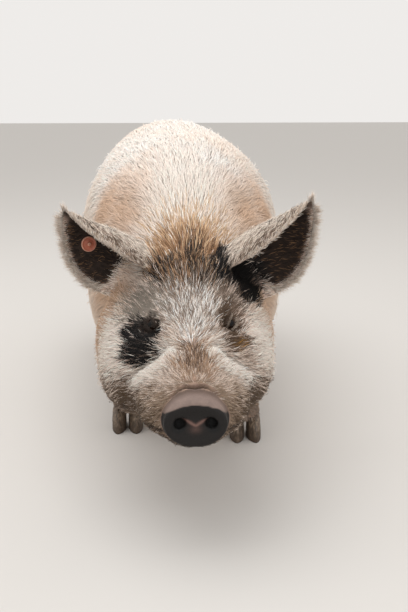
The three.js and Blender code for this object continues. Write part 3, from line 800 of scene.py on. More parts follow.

# the coat's markings, with some marks of painted shade and a painted highlight among them
MARKS = (
    Mark("tan flank", both(Blot((0.20, 0.62, 0.30), (0.07, 0.75, 0.13), 0.6)), "#dcc09c", "#c39a80", 0.12,
         flecked=False),
    # painted shade in the hollow below each ear, behind the jowl, in tan
    Mark("tan below the ear", both(Blot((0.155, 0.29, 0.33), (0.06, 0.12, 0.12), 0.6)),
         "#cba17b", "#a57f66", 0.8, flecked=False),
    # painted shade in the hollows between neck and shoulder, in tan, on hair and skin
    Mark("hollow of the shoulder", both(
        Blot((0.098, 0.375, 0.455), (0.048, 0.080, 0.050), 0.95, 0.1),
        Blot((0.135, 0.455, 0.445), (0.045, 0.085, 0.060), 0.95, 0.1),
    ), "#cda27c", "#b98a6e", 0.78, flecked=False),
    Mark("cream nape", (Blot((0.0, 0.365, 0.470), (0.062, 0.100, 0.060), 0.7, 0.1),),
         "#f8ece1", "#cfb09a", 0.75, flecked=False),
    Mark("poll", (Blot((0.004, 0.232, 0.415), (0.068, 0.066, 0.054), 0.45, 0.15),),
         "#c29d7b", "#8a6d57", 0.88),
    Mark("tan round the poll", (Blot((0.004, 0.252, 0.428), (0.078, 0.078, 0.060), 0.7, 0.15),),
         "#d9b894", "#a88a72", 0.42),
    Mark("brown in the poll", (Blot((0.000, 0.212, 0.394), (0.066, 0.066, 0.052), 0.45, 0.15),),
         "#967152", "#6c5646", 0.58),
    Mark("dark flecks", (Blot((-0.001, 0.194, 0.380), (0.058, 0.044, 0.036), 0.5, 0.3),),
         "#3a2d23", "#4f4037", 0.42),
    Mark("dark streaks, right", (Blot((-0.046, 0.206, 0.376), (0.020, 0.026, 0.024), 0.5, 0.3),),
         BLACK, DARK_SKIN, 0.60),
    Mark("dark streak, middle", (Blot((0.007, 0.220, 0.408), (0.009, 0.046, 0.032), 0.5, 0.2),),
         "#2c231c", DARK_SKIN, 0.62),
    Mark("dark brow streak", (Blot((0.030, 0.197, 0.374), (0.026, 0.024, 0.022), 0.5, 0.3),),
         BLACK, "#4f4037", 0.40),
    Mark("patch at the left ear", (
        Blot((0.080, 0.236, 0.374), (0.030, 0.042, 0.042), 0.22, 0.12),
        Blot((0.097, 0.222, 0.346), (0.024, 0.036, 0.028), 0.25, 0.12),
        Blot((0.060, 0.236, 0.396), (0.018, 0.028, 0.022), 0.3, 0.12),
        Blot((0.057, 0.213, 0.381), (0.027, 0.030, 0.032), 0.35, 0.2),
    ), BLACK, "#1d1a18", 0.98),
    Mark("patch on the left ear's root", (
        Blot((0.098, 0.256, 0.366), (0.032, 0.040, 0.028), 0.3, 0.12),
        Blot((0.104, 0.236, 0.350), (0.020, 0.030, 0.022), 0.3, 0.12),
        Blot((0.078, 0.226, 0.374), (0.014, 0.022, 0.016), 0.3, 0.12),
    ), BLACK, "#1d1a18", 0.98, ears=True),
    Mark("pale cheek", both(Blot((0.116, 0.155, 0.285), (0.038, 0.064, 0.050), 0.55, 0.15)),
         "#f9eadf", "#dfc3b4", 0.97),
    Mark("pale forehead", (Blot((0.004, 0.150, 0.334), (0.048, 0.048, 0.036), 0.5, 0.2),),
         WHITE, "#8f7d72", 0.62),
    Mark("grey forehead", (Blot((0.004, 0.160, 0.345), (0.068, 0.060, 0.048), 0.45, 0.2),),
         "#8f8175", "#97847a", 0.42),
    Mark("brown brow, left", (Blot((0.064, 0.176, 0.332), (0.028, 0.036, 0.028), 0.5, 0.2),),
         "#776557", "#6d5b50", 0.62),
    Mark("grey patch over the right eye", (Blot((-0.075, 0.178, 0.330), (0.040, 0.050, 0.033), 0.45, 0.2),),
         "#948b80", "#737270", 0.85),
    Mark("black patch at the right eye", (
        Blot((-0.080, 0.147, 0.301), (0.024, 0.032, 0.026), 0.22, 0.12),
        Blot((-0.071, 0.117, 0.281), (0.028, 0.026, 0.022), 0.22, 0.12),
        Blot((-0.058, 0.138, 0.303), (0.018, 0.026, 0.020), 0.3, 0.12),
    ), BLACK, "#1f1b19", 0.97),
    Mark("dark lids", both(Blot((0.0645, 0.1538, 0.3114), (0.016, 0.016, 0.015), 0.4, 0.1)),
         "#3c3029", "#241b18", 0.95),
    # painted shade in the hollow between the left eye and the ridge
    Mark("dark hollow of the left eye", (
        Blot((0.058, 0.152, 0.314), (0.022, 0.036, 0.028), 0.5, 0.15),
        Blot((0.064, 0.126, 0.292), (0.020, 0.022, 0.018), 0.5, 0.15),
    ), "#5b4838", "#41342c", 0.92),
    Mark("stain under the left eye", (Blot((0.066, 0.118, 0.285), (0.009, 0.016, 0.010), 0.5, 0.2),),
         "#9a7038", "#8d6a4c", 0.55),
    Mark("skin behind the snout", (Blot((0.001, 0.026, 0.208), (0.070, 0.022, 0.060), 0.4, 0.1),),
         "#9c8672", "#66534a", 1.0),
    Mark("muzzle", (Blot((0.003, 0.072, 0.278), (0.034, 0.050, 0.026), 0.4, 0.15),),
         "#ad8f76", "#8a6f62", 0.78),
    Mark("dark middle of the muzzle", (Blot((0.001, 0.066, 0.282), (0.018, 0.034, 0.018), 0.5, 0.2),),
         "#5f4a3c", "#6e584d", 0.55),
    Mark("tuft on the bridge", (Blot((-0.002, 0.112, 0.302), (0.012, 0.014, 0.012), 0.5, 0.2),),
         WHITE, "#c9b0a4", 0.6),
    Mark("grey lips", both(Blot((0.066, 0.042, 0.218), (0.032, 0.034, 0.038), 0.5, 0.2)),
         "#a8937f", "#917869", 0.6),
    # painted highlight along the crests of the ridges, in near-white hair and pale skin
    Mark("white ridges", both(
        Blot((0.033, 0.098, 0.286), (0.017, 0.020, 0.015), 0.6, 0.2),
        Blot((0.048, 0.091, 0.270), (0.020, 0.019, 0.016), 0.6, 0.2),
        Blot((0.063, 0.088, 0.258), (0.020, 0.019, 0.016), 0.6, 0.2),
        Blot((0.079, 0.089, 0.246), (0.018, 0.019, 0.015), 0.6, 0.2),
    ), "#f8ece2", "#dcc9bd", 0.93),
    Mark("soiled jowls", both(Blot((0.085, 0.110, 0.185), (0.065, 0.110, 0.048), 0.5, 0.2)),
         "#62503f", "#5c4739", 0.92),
    Mark("soiled chin", (Blot((0.0, 0.055, 0.158), (0.062, 0.060, 0.026), 0.5, 0.2),),
         "#3d3127", "#3f322a", 0.94),
    # painted shade in the line where the lips meet
    Mark("line of the mouth", both(
        Blot((0.050, 0.032, 0.189), (0.013, 0.012, 0.0038), 0.6, 0.1),
        Blot((0.066, 0.046, 0.187), (0.013, 0.012, 0.0038), 0.6, 0.1),
        Blot((0.079, 0.060, 0.186), (0.013, 0.012, 0.0038), 0.6, 0.1),
        Blot((0.089, 0.077, 0.186), (0.013, 0.013, 0.0038), 0.6, 0.1),
        Blot((0.097, 0.095, 0.187), (0.013, 0.013, 0.0038), 0.6, 0.1),
        Blot((0.103, 0.113, 0.191), (0.013, 0.013, 0.0036), 0.7, 0.1),
    ), "#3b2f27", "#2c221d", 0.85),
    Mark("soiled legs and feet", tuple(Blot((*foot, 0.06), (0.09, 0.11, 0.09), 0.5, 0.1) for foot in FEET),
         "#7d6652", "#6d5646", 0.62, flecked=False),
    Mark("soiled belly", (Blot((0.0, 0.75, 0.13), (0.15, 0.42, 0.05), 0.6),), "#a88f75", "#8d7058", 0.5,
         flecked=False),
)


class Markings:
    """The colours of the coat and of the skin under it, by place."""

    def __init__(self, anatomy: Anatomy) -> None:
        """Draws the noise that makes the edges ragged and the tone uneven.

        Args:
            anatomy: the animal's places.
        """
        self.anatomy = anatomy
        self.ripple = Ripple(0.014, 11)
        self.broad = Ripple(0.30, 12)
        self.fine = Ripple(0.045, 13)

    def skin(self, points: Array, parts: Array, inner: Array, rim: Array) -> Array:
        """The skin's colour at each point.

        Args:
            points: places in the scene.
            parts: the label of the part at each point.
            inner: True where the point is inside an ear.
            rim: from 0 to 1, how near the point is to an ear's rim.

        Returns:
            Linear colours.
        """
        places = self.anatomy.own(points)
        colours = np.tile(linear(FLESH_PINK), (len(points), 1))
        for ears in (False, True):
            for mark in (mark for mark in MARKS if mark.ears == ears):
                colours = mixed(colours, linear(mark.skin), 0.85 * mark.share(places, self.ripple))
            if not ears:
                colours[parts == Part.EAR] = linear(EAR_BACK_SKIN)
                # inside the ears, painted shade that gives way to the pale skin at the rim
                colours[inner] = mixed(linear(EAR_HOLLOW_SHADE), linear(EAR_RIM_SKIN), rim[inner])
        return np.where((parts == Part.SNOUT)[:, None], self.snout_skin(places), colours)

    def snout_skin(self, places: Array) -> Array:
        """The bare skin of the snout: a mauve-grey wall, and a dark disc with a pinkish bridge and painted
        shade in the nostrils.

        Args:
            places: the animal's own places.

        Returns:
            Linear colours.
        """
        sideways, up = np.abs(places[:, 0]), places[:, 2] - DISC_UP
        height, width = np.where(up > 0, 0.0335, 0.055), np.where(up > 0, 0.053, 0.058)
        out = (sideways / width) ** 2 + (up / height) ** 2 + 0.02 * self.ripple(places)
        bridge = 0.28 * np.exp(-((sideways / 0.008) ** 2) - ((up + 0.003) / 0.006) ** 2)
        vee = np.exp(-(((sideways - 1.5 * (up - 0.002)) / 0.0042) ** 2))
        vee = 0.70 * vee * ramp(up, -0.002, 0.003) * ramp(up, 0.0145, 0.0095)
        face = mixed(linear("#0f0a08"), linear("#82635a"), np.clip(bridge + vee, 0, 0.85))
        # painted shade in the nostrils, near black
        nostril = ((sideways - 0.025) / 0.011) ** 2 + ((up - 0.001) / 0.010) ** 2
        face = face * ramp(nostril, 0.7, 1.15)[:, None] + 0.003
        wall = mixed(linear("#85736b"), linear("#3c312c"), ramp(up, 0.030, 0.003))
        wall = mixed(wall, linear("#64534a"), 0.8 * ramp(places[:, 1], 0.009, 0.019))
        return mixed(wall, face, ramp(out, 1.05, 0.97))

    def hair(self, roots: "Roots", rng: np.random.Generator) -> Array:
        """The colour of each tuft, with single hairs of a marking's colour near its edge.

        Args:
            roots: the tufts' rows.
            rng: the draw of single hairs.

        Returns:
            Linear colours.
        """
        points, kind = roots.points, roots.kinds
        places = self.anatomy.own(points)
        spread = 0.09 * rng.normal(size=len(points))
        tone = np.clip(0.5 + 0.30 * self.broad(points) + 0.17 * self.fine(points) + spread, 0, 1)
        low = ramp(places[:, 2], 0.50, 0.24)
        colours = mixed(linear(CREAM), linear(WHITE), tone * (1 - 0.6 * low))
        lone = rng.random(len(points)) < 0.2
        tan = np.clip(0.06 + 0.20 * low + 0.20 * lone - 0.1 * tone, 0, 0.7)
        colours = mixed(colours, linear("#d6b294"), tan)
        face = kind == Hair.FACE
        colours[face] = colours[face] * 0.55 + linear("#d7c4b6") * 0.45
        dark = face & (rng.random(len(points)) < 0.32)
        colours[dark] = colours[dark] * 0.25 + linear("#7d6757") * 0.75
        colours = self.ear_hair(roots, colours, rng)
        unmarked = np.isin(kind, (Hair.EAR_BACK, Hair.EAR_INSIDE, Hair.FRINGE, Hair.LASH))
        for mark in MARKS:
            share = mark.share(places, self.ripple)
            if mark.flecked:
                share = (rng.random(len(points)) < share).astype(float)
            if not mark.ears:
                share[unmarked] = 0
            colours = mixed(colours, linear(mark.hair), share)
        lash = kind == Hair.LASH
        colours[lash] = np.where(places[lash, :1] > 0, linear("#cbbcad"), linear("#3a332e"))
        uneven = np.where(kind == Hair.BODY, 0.06, 0.09)
        return np.clip(colours * (1 + uneven * rng.normal(size=len(points)))[:, None], 0.003, 0.92)

    @staticmethod
    def ear_hair(roots: "Roots", colours: Array, rng: np.random.Generator) -> Array:
        """The ears' colours: pale backs with painted shade on the roof towards the opening, painted shade
        inside with a pale rim, and white fringes.

        Args:
            roots: the tufts' rows.
            colours: the tufts' colours so far.
            rng: the draw of single hairs.

        Returns:
            The colours with the ears' own.
        """
        count, kind = len(roots.points), roots.kinds
        back = kind == Hair.EAR_BACK
        grey = (rng.random(count) < 0.30) & back
        colours[back] = colours[back] * 0.4 + linear("#eadccd") * 0.6
        colours[grey] = linear("#a89a8d")
        # painted shade on the roof of the ear, towards its opening
        shaded = back & (rng.random(count) < 0.75 * roots.rim)
        shade = np.where(rng.random((count, 1)) < 0.6, linear("#7b6757"), linear("#4e4036"))
        colours[shaded] = shade[shaded]
        inside = kind == Hair.EAR_INSIDE
        # painted shade inside the ear: mostly dark hair, a few brown ones
        brown = np.where(rng.random((count, 1)) < 0.13, linear("#82644a"), linear("#231a15"))
        pale = np.where(rng.random((count, 1)) < 0.8, linear("#f0e3d8"), linear("#c2ab94"))
        rim = (rng.random(count) < ramp(roots.rim, 0.08, 0.45))[:, None]
        colours = np.where(inside[:, None], np.where(rim, pale, brown), colours)
        return np.where((kind == Hair.FRINGE)[:, None], pale, colours)


# ---------------------------------------------------------------- the coat

class Hair(IntEnum):
    """The sorts of hair, which differ in length, thickness and colour."""

    BODY = 0
    FACE = 1
    EAR_BACK = 2
    EAR_INSIDE = 3
    FRINGE = 4
    LEG = 5
    TAIL = 6
    LASH = 7


@dataclass(frozen=True)
class HairStyle:
    """How one sort of hair grows."""

    per_square_metre: float
    length: float
    width: float
    spread: float  # how far neighbours turn from each other, in radians
    wave: float  # how far a tuft swings sideways, as a share of its length
    softness: float  # how far the tufts' shading turns from their own faces' to the skin's


STYLES = {
    Hair.BODY: HairStyle(42_000, 0.050, 0.0022, 0.13, 0.035, 1.1),
    Hair.FACE: HairStyle(280_000, 0.020, 0.0009, 0.22, 0.050, 0.7),
    Hair.EAR_BACK: HairStyle(210_000, 0.013, 0.0010, 0.22, 0.030, 0.6),
    Hair.EAR_INSIDE: HairStyle(150_000, 0.013, 0.0010, 0.24, 0.050, 0.3),
    Hair.FRINGE: HairStyle(0, 0.016, 0.0010, 0.34, 0.070, 0.0),
    Hair.LEG: HairStyle(80_000, 0.020, 0.0015, 0.22, 0.040, 0.7),
    Hair.TAIL: HairStyle(90_000, 0.026, 0.0016, 0.26, 0.080, 0.6),
    Hair.LASH: HairStyle(0, 0.0085, 0.0005, 0.0, 0.060, 0.0),
}


def styled(name: str, kinds: Array) -> Array:
    """One of the styles' numbers for each of these kinds of hair."""
    return np.array([getattr(STYLES[kind], name) for kind in Hair])[kinds]


def by_kind(kinds: Array, values: dict[Hair, Array]) -> Array:
    """The value that belongs to each row's kind of hair, or 1."""
    return np.select([kinds == kind for kind in values], list(values.values()), 1.0)


@dataclass
class Roots:
    """The tufts' roots and how each tuft grows, one row for each."""

    points: Array
    normals: Array
    lies: Array
    kinds: Array
    lengths: Array
    widths: Array
    rises: Array
    follow: Array
    rim: Array

    def pick(self, chosen: Array) -> "Roots":
        """Some of the rows."""
        return Roots(*(getattr(self, name)[chosen] for name in self.__dataclass_fields__))

    @staticmethod
    def joined(several: Sequence["Roots"]) -> "Roots":
        """All rows of several sets."""
        names = Roots.__dataclass_fields__
        return Roots(*(np.concatenate([getattr(one, name) for one in several]) for name in names))


class Unwrap:
    """A flat map of the skin: the barrel of body, head and tail, with the legs and the ears beside it."""

    AXIS_UP = 0.32  # the height of the trunk's axis
    GIRTH = 1.2
    MID_LENGTH = 0.78  # between the fore and the hind legs
    LEG_RADIUS = 0.05

    def __init__(self, anatomy: Anatomy) -> None:
        """Keeps the places that the charts are measured from."""
        self.anatomy = anatomy

    def places(self, points: Array, kinds: Array) -> Array:
        """The place of each point on the map, about one unit to the metre.

        Args:
            points: places in the scene.
            kinds: the kind of hair at each point, which tells the charts apart.

        Returns:
            Rows of two numbers.
        """
        own = self.anatomy.own(points)
        turn = np.arctan2(own[:, 0], own[:, 2] - self.AXIS_UP) / (2 * np.pi)
        flat = np.stack((own[:, 1], self.GIRTH * turn), axis=1)
        leg = kinds == Hair.LEG
        quarter = 2.0 * (own[:, 0] > 0) + (own[:, 1] > self.MID_LENGTH)
        middle = np.array(FEET)[quarter.astype(int)]
        round_leg = np.arctan2(own[:, 0] - middle[:, 0], own[:, 1] - middle[:, 1]) * self.LEG_RADIUS
        flat = np.where(leg[:, None], np.stack((round_leg + 0.4 * quarter, own[:, 2] + 1.0), axis=1), flat)
        ear = np.isin(kinds, (Hair.EAR_BACK, Hair.EAR_INSIDE, Hair.FRINGE))
        for side, cup in self.anatomy.ears.items():
            here = ear & self.anatomy.on_side(points, side)
            shift = 2.0 + 0.5 * (side == "left") + 0.25 * (kinds == Hair.EAR_INSIDE)
            chart = np.stack((points @ cup.heading, points @ cup.across + shift), axis=1)
            flat = np.where(here[:, None], chart, flat)
        return flat


# the triangles of a tuft: its closed root, the walls between its two rings of three, and its point
TUFT_FACES = np.array((
    (0, 2, 1), (0, 1, 4), (0, 4, 3), (1, 2, 5), (1, 5, 4),
    (2, 0, 3), (2, 3, 5), (3, 4, 6), (4, 5, 6), (5, 3, 6),
))
TUFT_POINTS = 7
LEVELS = np.array((0.0, 0.5**0.9, 1.0))  # where the rings and the point lie along a tuft
FULLNESS = np.array((0.8, 0.85))  # the rings' widths as shares of the tuft's
TURNS = 2 * np.pi * np.arange(3) / 3


@dataclass
class Coat:
    """The coat: tufts over the whole skin, lying as the hair lies, in pieces of limited size."""

    anatomy: Anatomy
    markings: Markings
    skin: Object
    seed: int = 5
    most_triangles: int = 195_000
    rim_hairs: int = 1700  # for each ear
    strip_hairs: int = 1200  # for each ear
    lash_hairs: int = 90  # for each eye
    patch: float = 0.003  # how wide a tuft's patch is on its map
    coronet: float = 0.056  # below this height the hair hangs free over the hooves

    def __post_init__(self) -> None:
        """Reads the skin and the room between it and the coat's outer surface."""
        self.rng = np.random.default_rng(self.seed)
        self.cage = Cage(self.skin.data)
        self.surface = BVHTree.FromPolygons(self.cage.points.tolist(), self.cage.faces.tolist())
        self.normals = self.cage.normals()
        self.parts = self.anatomy.part_of(self.cage.points)
        room = np.array([self.anatomy.flesh.find_nearest(point)[3] for point in self.cage.points])
        self.room = self.cage.blurred(np.clip(room, 0.001, 0.011), 6)
        self.inner = self.inside_ears()
        self.rim = self.ear_rims()
        self.broad_locks, self.fine_locks = Ripple(0.030, 21), Ripple(0.012, 22)
        self.unwrap = Unwrap(self.anatomy)

    def inside_ears(self) -> Array:
        """Which vertices of the skin lie inside an ear.

        Returns:
            True or False for each vertex.
        """
        inner = np.zeros(len(self.cage.points))
        for side, cup in self.anatomy.ears.items():
            here = (self.parts == Part.EAR) & self.anatomy.on_side(self.cage.points, side)
            inner[here] = cup.inner(self.cage.points[here], self.normals[here])
        return (self.cage.blurred(inner, 3) > 0.5) & (self.cage.blurred(inner, 40) > 0.36)

    def ear_rims(self) -> Array:
        """How near each vertex is to an ear's rim: inside, most on the outer side, where the painted shade
        gives way to pale; outside, on the roof only, where it sets the hair's painted shade.

        Returns:
            A number from 0 to 1 for each vertex.
        """
        inner = self.inner.astype(float)
        near = ramp(self.cage.blurred(inner, 60), 0.985, 0.85)
        roof = ramp(self.cage.blurred(inner, 240), 0.04, 0.34)
        outer = np.zeros(len(near))
        for side, cup in self.anatomy.ears.items():
            here = self.anatomy.on_side(self.cage.points, side)
            sideways = (self.cage.points - cup.line(self.cage.points)) @ cup.across
            outer[here] = ramp(-sideways[here], -0.004, 0.012)
            roof[here] *= ramp(cup.share(self.cage.points[here]), 0.95, 0.45)
        return np.where(self.inner, near * (0.12 + 0.88 * outer), roof * (1 - outer))

    def vertex_kinds(self) -> Array:
        """The kind of hair that grows on the skin.

        Returns:
            The kind for each vertex, or -1 where the skin is bare.
        """
        by_part = {
            Part.TRUNK: Hair.BODY, Part.NECK: Hair.BODY, Part.HEAD: Hair.FACE,
            Part.JAW: Hair.FACE, Part.EAR: Hair.EAR_BACK, Part.LEG: Hair.LEG,
            Part.TAIL: Hair.TAIL,
        }
        kinds = np.array([by_part.get(part, -1) for part in Part])[self.parts]
        kinds[self.inner] = Hair.EAR_INSIDE
        return kinds

    def scatter(self) -> Roots:
        """Roots all over the skin, as densely as each kind of hair grows.

        Returns:
            The rows of every tuft but the fringes and the lashes.
        """
        faces, points = self.cage.faces, self.cage.points
        kinds = self.vertex_kinds()
        a, b, c = (points[faces[:, i]] for i in range(3))
        area = np.linalg.norm(np.cross(b - a, c - a), axis=1) / 2
        middle = self.anatomy.own((a + b + c) / 3)
        face_kind = kinds[faces[:, 0]]
        wanted = area * styled("per_square_metre", face_kind) * (face_kind >= 0)
        wanted = wanted * self.thickness(middle, face_kind, faces)
        steps = np.cumsum(wanted)
        at = np.arange(int(steps[-1])) + self.rng.random(int(steps[-1]))
        face = np.minimum(np.searchsorted(steps, at), len(faces) - 1)
        u, v = self.rng.random(len(face)), self.rng.random(len(face))
        over = u + v > 1
        u[over], v[over] = 1 - u[over], 1 - v[over]
        weights = np.stack((1 - u - v, u, v), axis=1)[:, :, None]
        corner = faces[face]
        place = (points[corner] * weights).sum(axis=1)
        normal = unit((self.normals[corner] * weights).sum(axis=1))
        room = (self.room[corner] * weights[:, :, 0]).sum(axis=1)
        rim = (self.rim[corner] * weights[:, :, 0]).sum(axis=1)
        return self.grown(place, normal, face_kind[face], room, rim)

    def thickness(self, middle: Array, kinds: Array, faces: Array) -> Array:
        """How the usual density changes: thin on the belly, none on the disc and the lids.

        Args:
            middle: the middles of the skin's triangles, as the animal's own places.
            kinds: the kinds of hair there.
            faces: the triangles' vertices.

        Returns:
            A factor for each triangle.
        """
        belly = np.where(self.normals[faces[:, 0], 2] < -0.4, 0.55, 1.0)
        share = by_kind(kinds, {
            Hair.BODY: belly * (1 + 1.6 * ramp(middle[:, 1], 0.60, 0.30)),
            Hair.FACE: 1 + 0.7 * ramp(middle[:, 1], 0.12, 0.08),
            Hair.LEG: 1 + 1.2 * ramp(middle[:, 2], 0.075, 0.060),
        })
        on_top = ramp(np.abs(middle[:, 0]), 0.042, 0.026) * ramp(middle[:, 2], 0.225, 0.244)
        bare = 0.008 + 0.019 * on_top
        share = share * ramp(middle[:, 1], bare, bare + 0.010)
        for side, eye in self.anatomy.eyes.items():
            slit = Lids().slit_middle(eye, self.anatomy.eye_radius, SIDES[side])
            gap = np.linalg.norm(middle - self.anatomy.own(slit), axis=1)
            share = share * ramp(gap, 0.0045, 0.0085) * (1 + 0.8 * ramp(gap, 0.024, 0.012))
        tag = self.anatomy.own(self.anatomy.middle("ear_tag"))
        return share * ramp(np.linalg.norm(middle - tag, axis=1), 0.012, 0.016)

    def grown(self, points: Array, normals: Array, kinds: Array, room: Array, rim: Array) -> Roots:
        """The direction and the size of the tuft on each root.

        Args:
            points: the roots.
            normals: the skin's outward directions there.
            kinds: the kinds of hair.
            room: how far the coat may stand off the skin.
            rim: how near each root is to an ear's rim.

        Returns:
            The full rows.
        """
        count = len(points)
        lies = along_surface(self.directions(points, kinds), normals)
        turn = 0.9 * self.broad_locks(points) + 0.7 * self.fine_locks(points)
        turn = styled("spread", kinds) * (turn + 0.8 * self.rng.normal(size=count))
        across = np.cross(normals, lies)
        lies = lies * np.cos(turn)[:, None] + across * np.sin(turn)[:, None]
        lengths = styled("length", kinds) * self.length_share(points, kinds)
        lengths = lengths * self.rng.uniform(0.7, 1.25, count)
        widths = styled("width", kinds) * self.width_share(points, kinds) * self.rng.uniform(0.7, 1.3, count)
        even = np.where(kinds == Hair.BODY, 0.5, 1.0)
        rises = room * (1 - even * self.rng.uniform(0.0, 0.67, count))
        rises = rises * (1 + 0.25 * even * self.fine_locks(points))
        often = {Hair.EAR_BACK: 0.10, Hair.FACE: 0.03, Hair.BODY: 0.012}
        stray = self.rng.random(count) < np.array([often.get(kind, 0.02) for kind in Hair])[kinds]
        rises = np.where(stray, rises + np.minimum(0.22 * lengths, 0.006), rises)
        rises = np.clip(rises, 0.0006, 0.016)
        hanging = (kinds == Hair.LEG) & (points[:, 2] < self.coronet)
        lies[hanging] = unit(along_surface(lies[hanging], normals[hanging]) + 0.16 * normals[hanging])
        lengths = np.where(hanging, 0.012 * self.rng.uniform(0.6, 1.2, count), lengths)
        return Roots(points, normals, lies, kinds, lengths, widths, rises, 1.0 - hanging, rim)

    def directions(self, points: Array, kinds: Array) -> Array:
        """The way the hair lies: back along the body, out from the bridge on the face, down the legs.

        Args:
            points: the roots.
            kinds: the kinds of hair.

        Returns:
            Directions of any length.
        """
        own = self.anatomy.own(points)
        side, ones = np.sign(own[:, 0]), np.ones(len(own))
        out = np.clip(np.abs(own[:, 0]) / 0.2, 0, 1)
        down = -(0.15 + 0.75 * out**2) * ramp(own[:, 2], 0.58, 0.40)
        body = np.stack((0.10 * side * out, ones, down), axis=1)
        whorl = np.array((0.0, 0.108, 0.290))
        face = unit(own - whorl) + np.array((0.0, 0.15, 0.0))
        muzzle = unit(own - np.array((0.0, 0.030, 0.232)))
        cheek = unit(np.stack((0.8 * side, 0.75 * ones, -0.55 * ones), axis=1))
        face = mixed(face, muzzle, ramp(own[:, 1], 0.135, 0.065))
        face = mixed(face, cheek, ramp(own[:, 2], 0.275, 0.225))
        face = mixed(face, body, ramp(own[:, 1], 0.20, 0.30))
        lies = np.where((kinds == Hair.FACE)[:, None], face, body)
        lies = np.where((kinds == Hair.LEG)[:, None], (0.0, 0.25, -1.0), lies)
        lies = np.where((kinds == Hair.TAIL)[:, None], (0.0, 0.12, -1.0), lies)
        for name, cup in self.anatomy.ears.items():
            here = np.isin(kinds, (Hair.EAR_BACK, Hair.EAR_INSIDE))
            here = here & self.anatomy.on_side(points, name)
            away = np.where((kinds == Hair.EAR_INSIDE)[:, None], 1.1, 0.15)
            lies = np.where(here[:, None], cup.heading * 0.8 + away * unit(points - cup.line(points)), lies)
        return lies

    def length_share(self, points: Array, kinds: Array) -> Array:
        """How the usual length changes from place to place.

        Args:
            points: the roots.
            kinds: the kinds of hair.

        Returns:
            A factor for each root.
        """
        own = self.anatomy.own(points)
        sideways, back, up = np.abs(own[:, 0]), own[:, 1], own[:, 2]
        muzzle = ramp(back, 0.11, 0.03)
        jowl = ramp(sideways, 0.07, 0.12) * ramp(up, 0.30, 0.24)
        poll = ramp(back, 0.17, 0.24) * ramp(up, 0.34, 0.38)
        crest = ramp(sideways, 0.10, 0.02) * ramp(up, 0.42, 0.50)
        neck = ramp(back, 0.45, 0.26)
        share = by_kind(kinds, {
            Hair.FACE: 1.0 - 0.42 * muzzle + 0.55 * jowl + 0.45 * poll,
            Hair.BODY: 1.0 + 0.25 * crest - 0.35 * neck,
            Hair.LEG: 0.60 + 0.40 * ramp(up, 0.06, 0.15),
            Hair.TAIL: 1.0 + 1.1 * ramp(up, 0.36, 0.30),
        })
        for eye in self.anatomy.eyes.values():
            gap = np.linalg.norm(points - eye, axis=1)
            share = share * (0.24 + 0.76 * ramp(gap, 0.014, 0.036))
        return share

    def width_share(self, points: Array, kinds: Array) -> Array:
        """How the usual width changes: finer on the neck and the muzzle.

        Args:
            points: the roots.
            kinds: the kinds of hair.

        Returns:
            A factor for each root.
        """
        back = self.anatomy.own(points)[:, 1]
        return by_kind(kinds, {Hair.BODY: 0.55 + 0.45 * ramp(back, 0.30, 0.60),
                               Hair.FACE: 0.75 + 0.25 * ramp(back, 0.05, 0.12)})

    def fringe(self) -> Roots:
        """Longer pale hairs out of the rims of the ears and over the strip inside them.

        Returns:
            Their rows.
        """
        edge = np.linalg.norm(self.cage.blurred(self.normals, 2), axis=1)
        part = 1.0
        style = STYLES[Hair.FRINGE]
        rows = []
        for side, cup in self.anatomy.ears.items():
            here = (self.parts == Part.EAR) & self.anatomy.on_side(self.cage.points, side)
            share = cup.share(self.cage.points)
            rim = np.nonzero(here & (edge < 0.80) & (share > 0.22))[0]
            strip = np.nonzero(here & self.inner & (self.rim > 0.55) & (share > 0.12))[0]
            rim = np.concatenate([self.rng.choice(vertices, size=int(hairs * part))
                                  for vertices, hairs in ((rim, self.rim_hairs), (strip, self.strip_hairs))])
            count = len(rim)
            points = self.cage.points[rim] + self.rng.normal(scale=0.0008, size=(count, 3))
            outward = unit(points - cup.line(points))
            ahead = 0.75 + 0.9 * share[rim, None] ** 2
            lifted = outward + cup.heading * ahead + 0.45 * self.normals[rim]
            lies = unit(lifted + 0.30 * self.rng.normal(size=(count, 3)))
            lengths, none = style.length * self.rng.uniform(0.4, 1.15, count), np.zeros(count)
            rows.append(Roots(
                points, outward, lies, np.full(count, Hair.FRINGE), lengths,
                style.width * self.rng.uniform(0.7, 1.2, count), none, none, np.ones(count),
            ))
        return Roots.joined(rows)

    def lashes(self) -> Roots:
        """Stiff fine hairs along the lids of both eyes, longest at the outer corner.

        Returns:
            Their rows.
        """
        rows, style, lids, count = [], STYLES[Hair.LASH], Lids(), self.lash_hairs
        for side, eye in self.anatomy.eyes.items():
            gaze, slit, rise = lids.axes(SIDES[side])
            along = np.repeat(np.linspace(-0.55, 0.80, count // 2), 2)
            along = along + self.rng.normal(scale=0.02, size=count)
            upper = np.tile((1.0, -1.0), count // 2)
            above = lids.line(along) + upper * (lids.height(along) + self.rng.uniform(0.05, 0.16, count))
            ahead = np.sqrt(np.maximum(1 - along**2 - above**2, 0.05))
            out = unit(ahead[:, None] * gaze + along[:, None] * slit + above[:, None] * rise)
            points = lids.centre(eye, SIDES[side]) + out * (self.anatomy.eye_radius + lids.skin)
            lies = 0.55 * out + (0.65 * upper)[:, None] * rise - 0.25 * UP
            lies = lies + (0.3 + 0.5 * along)[:, None] * slit
            lies = unit(lies + 0.10 * self.rng.normal(size=(count, 3)))
            lengths = style.length * (0.7 + 0.4 * along) * self.rng.uniform(0.7, 1.2, count)
            none = np.zeros(count)
            rows.append(Roots(
                points, out, lies, np.full(count, Hair.LASH), lengths, np.full(count, style.width),
                none, none, none,
            ))
        return Roots.joined(rows)

    def nearest(self, points: Array) -> tuple[Array, Array]:
        """The nearest places on the skin and its outward directions there."""
        found = [self.surface.find_nearest(point)[:2] for point in points]
        return np.array([spot for spot, _ in found]), np.array([normal for _, normal in found])

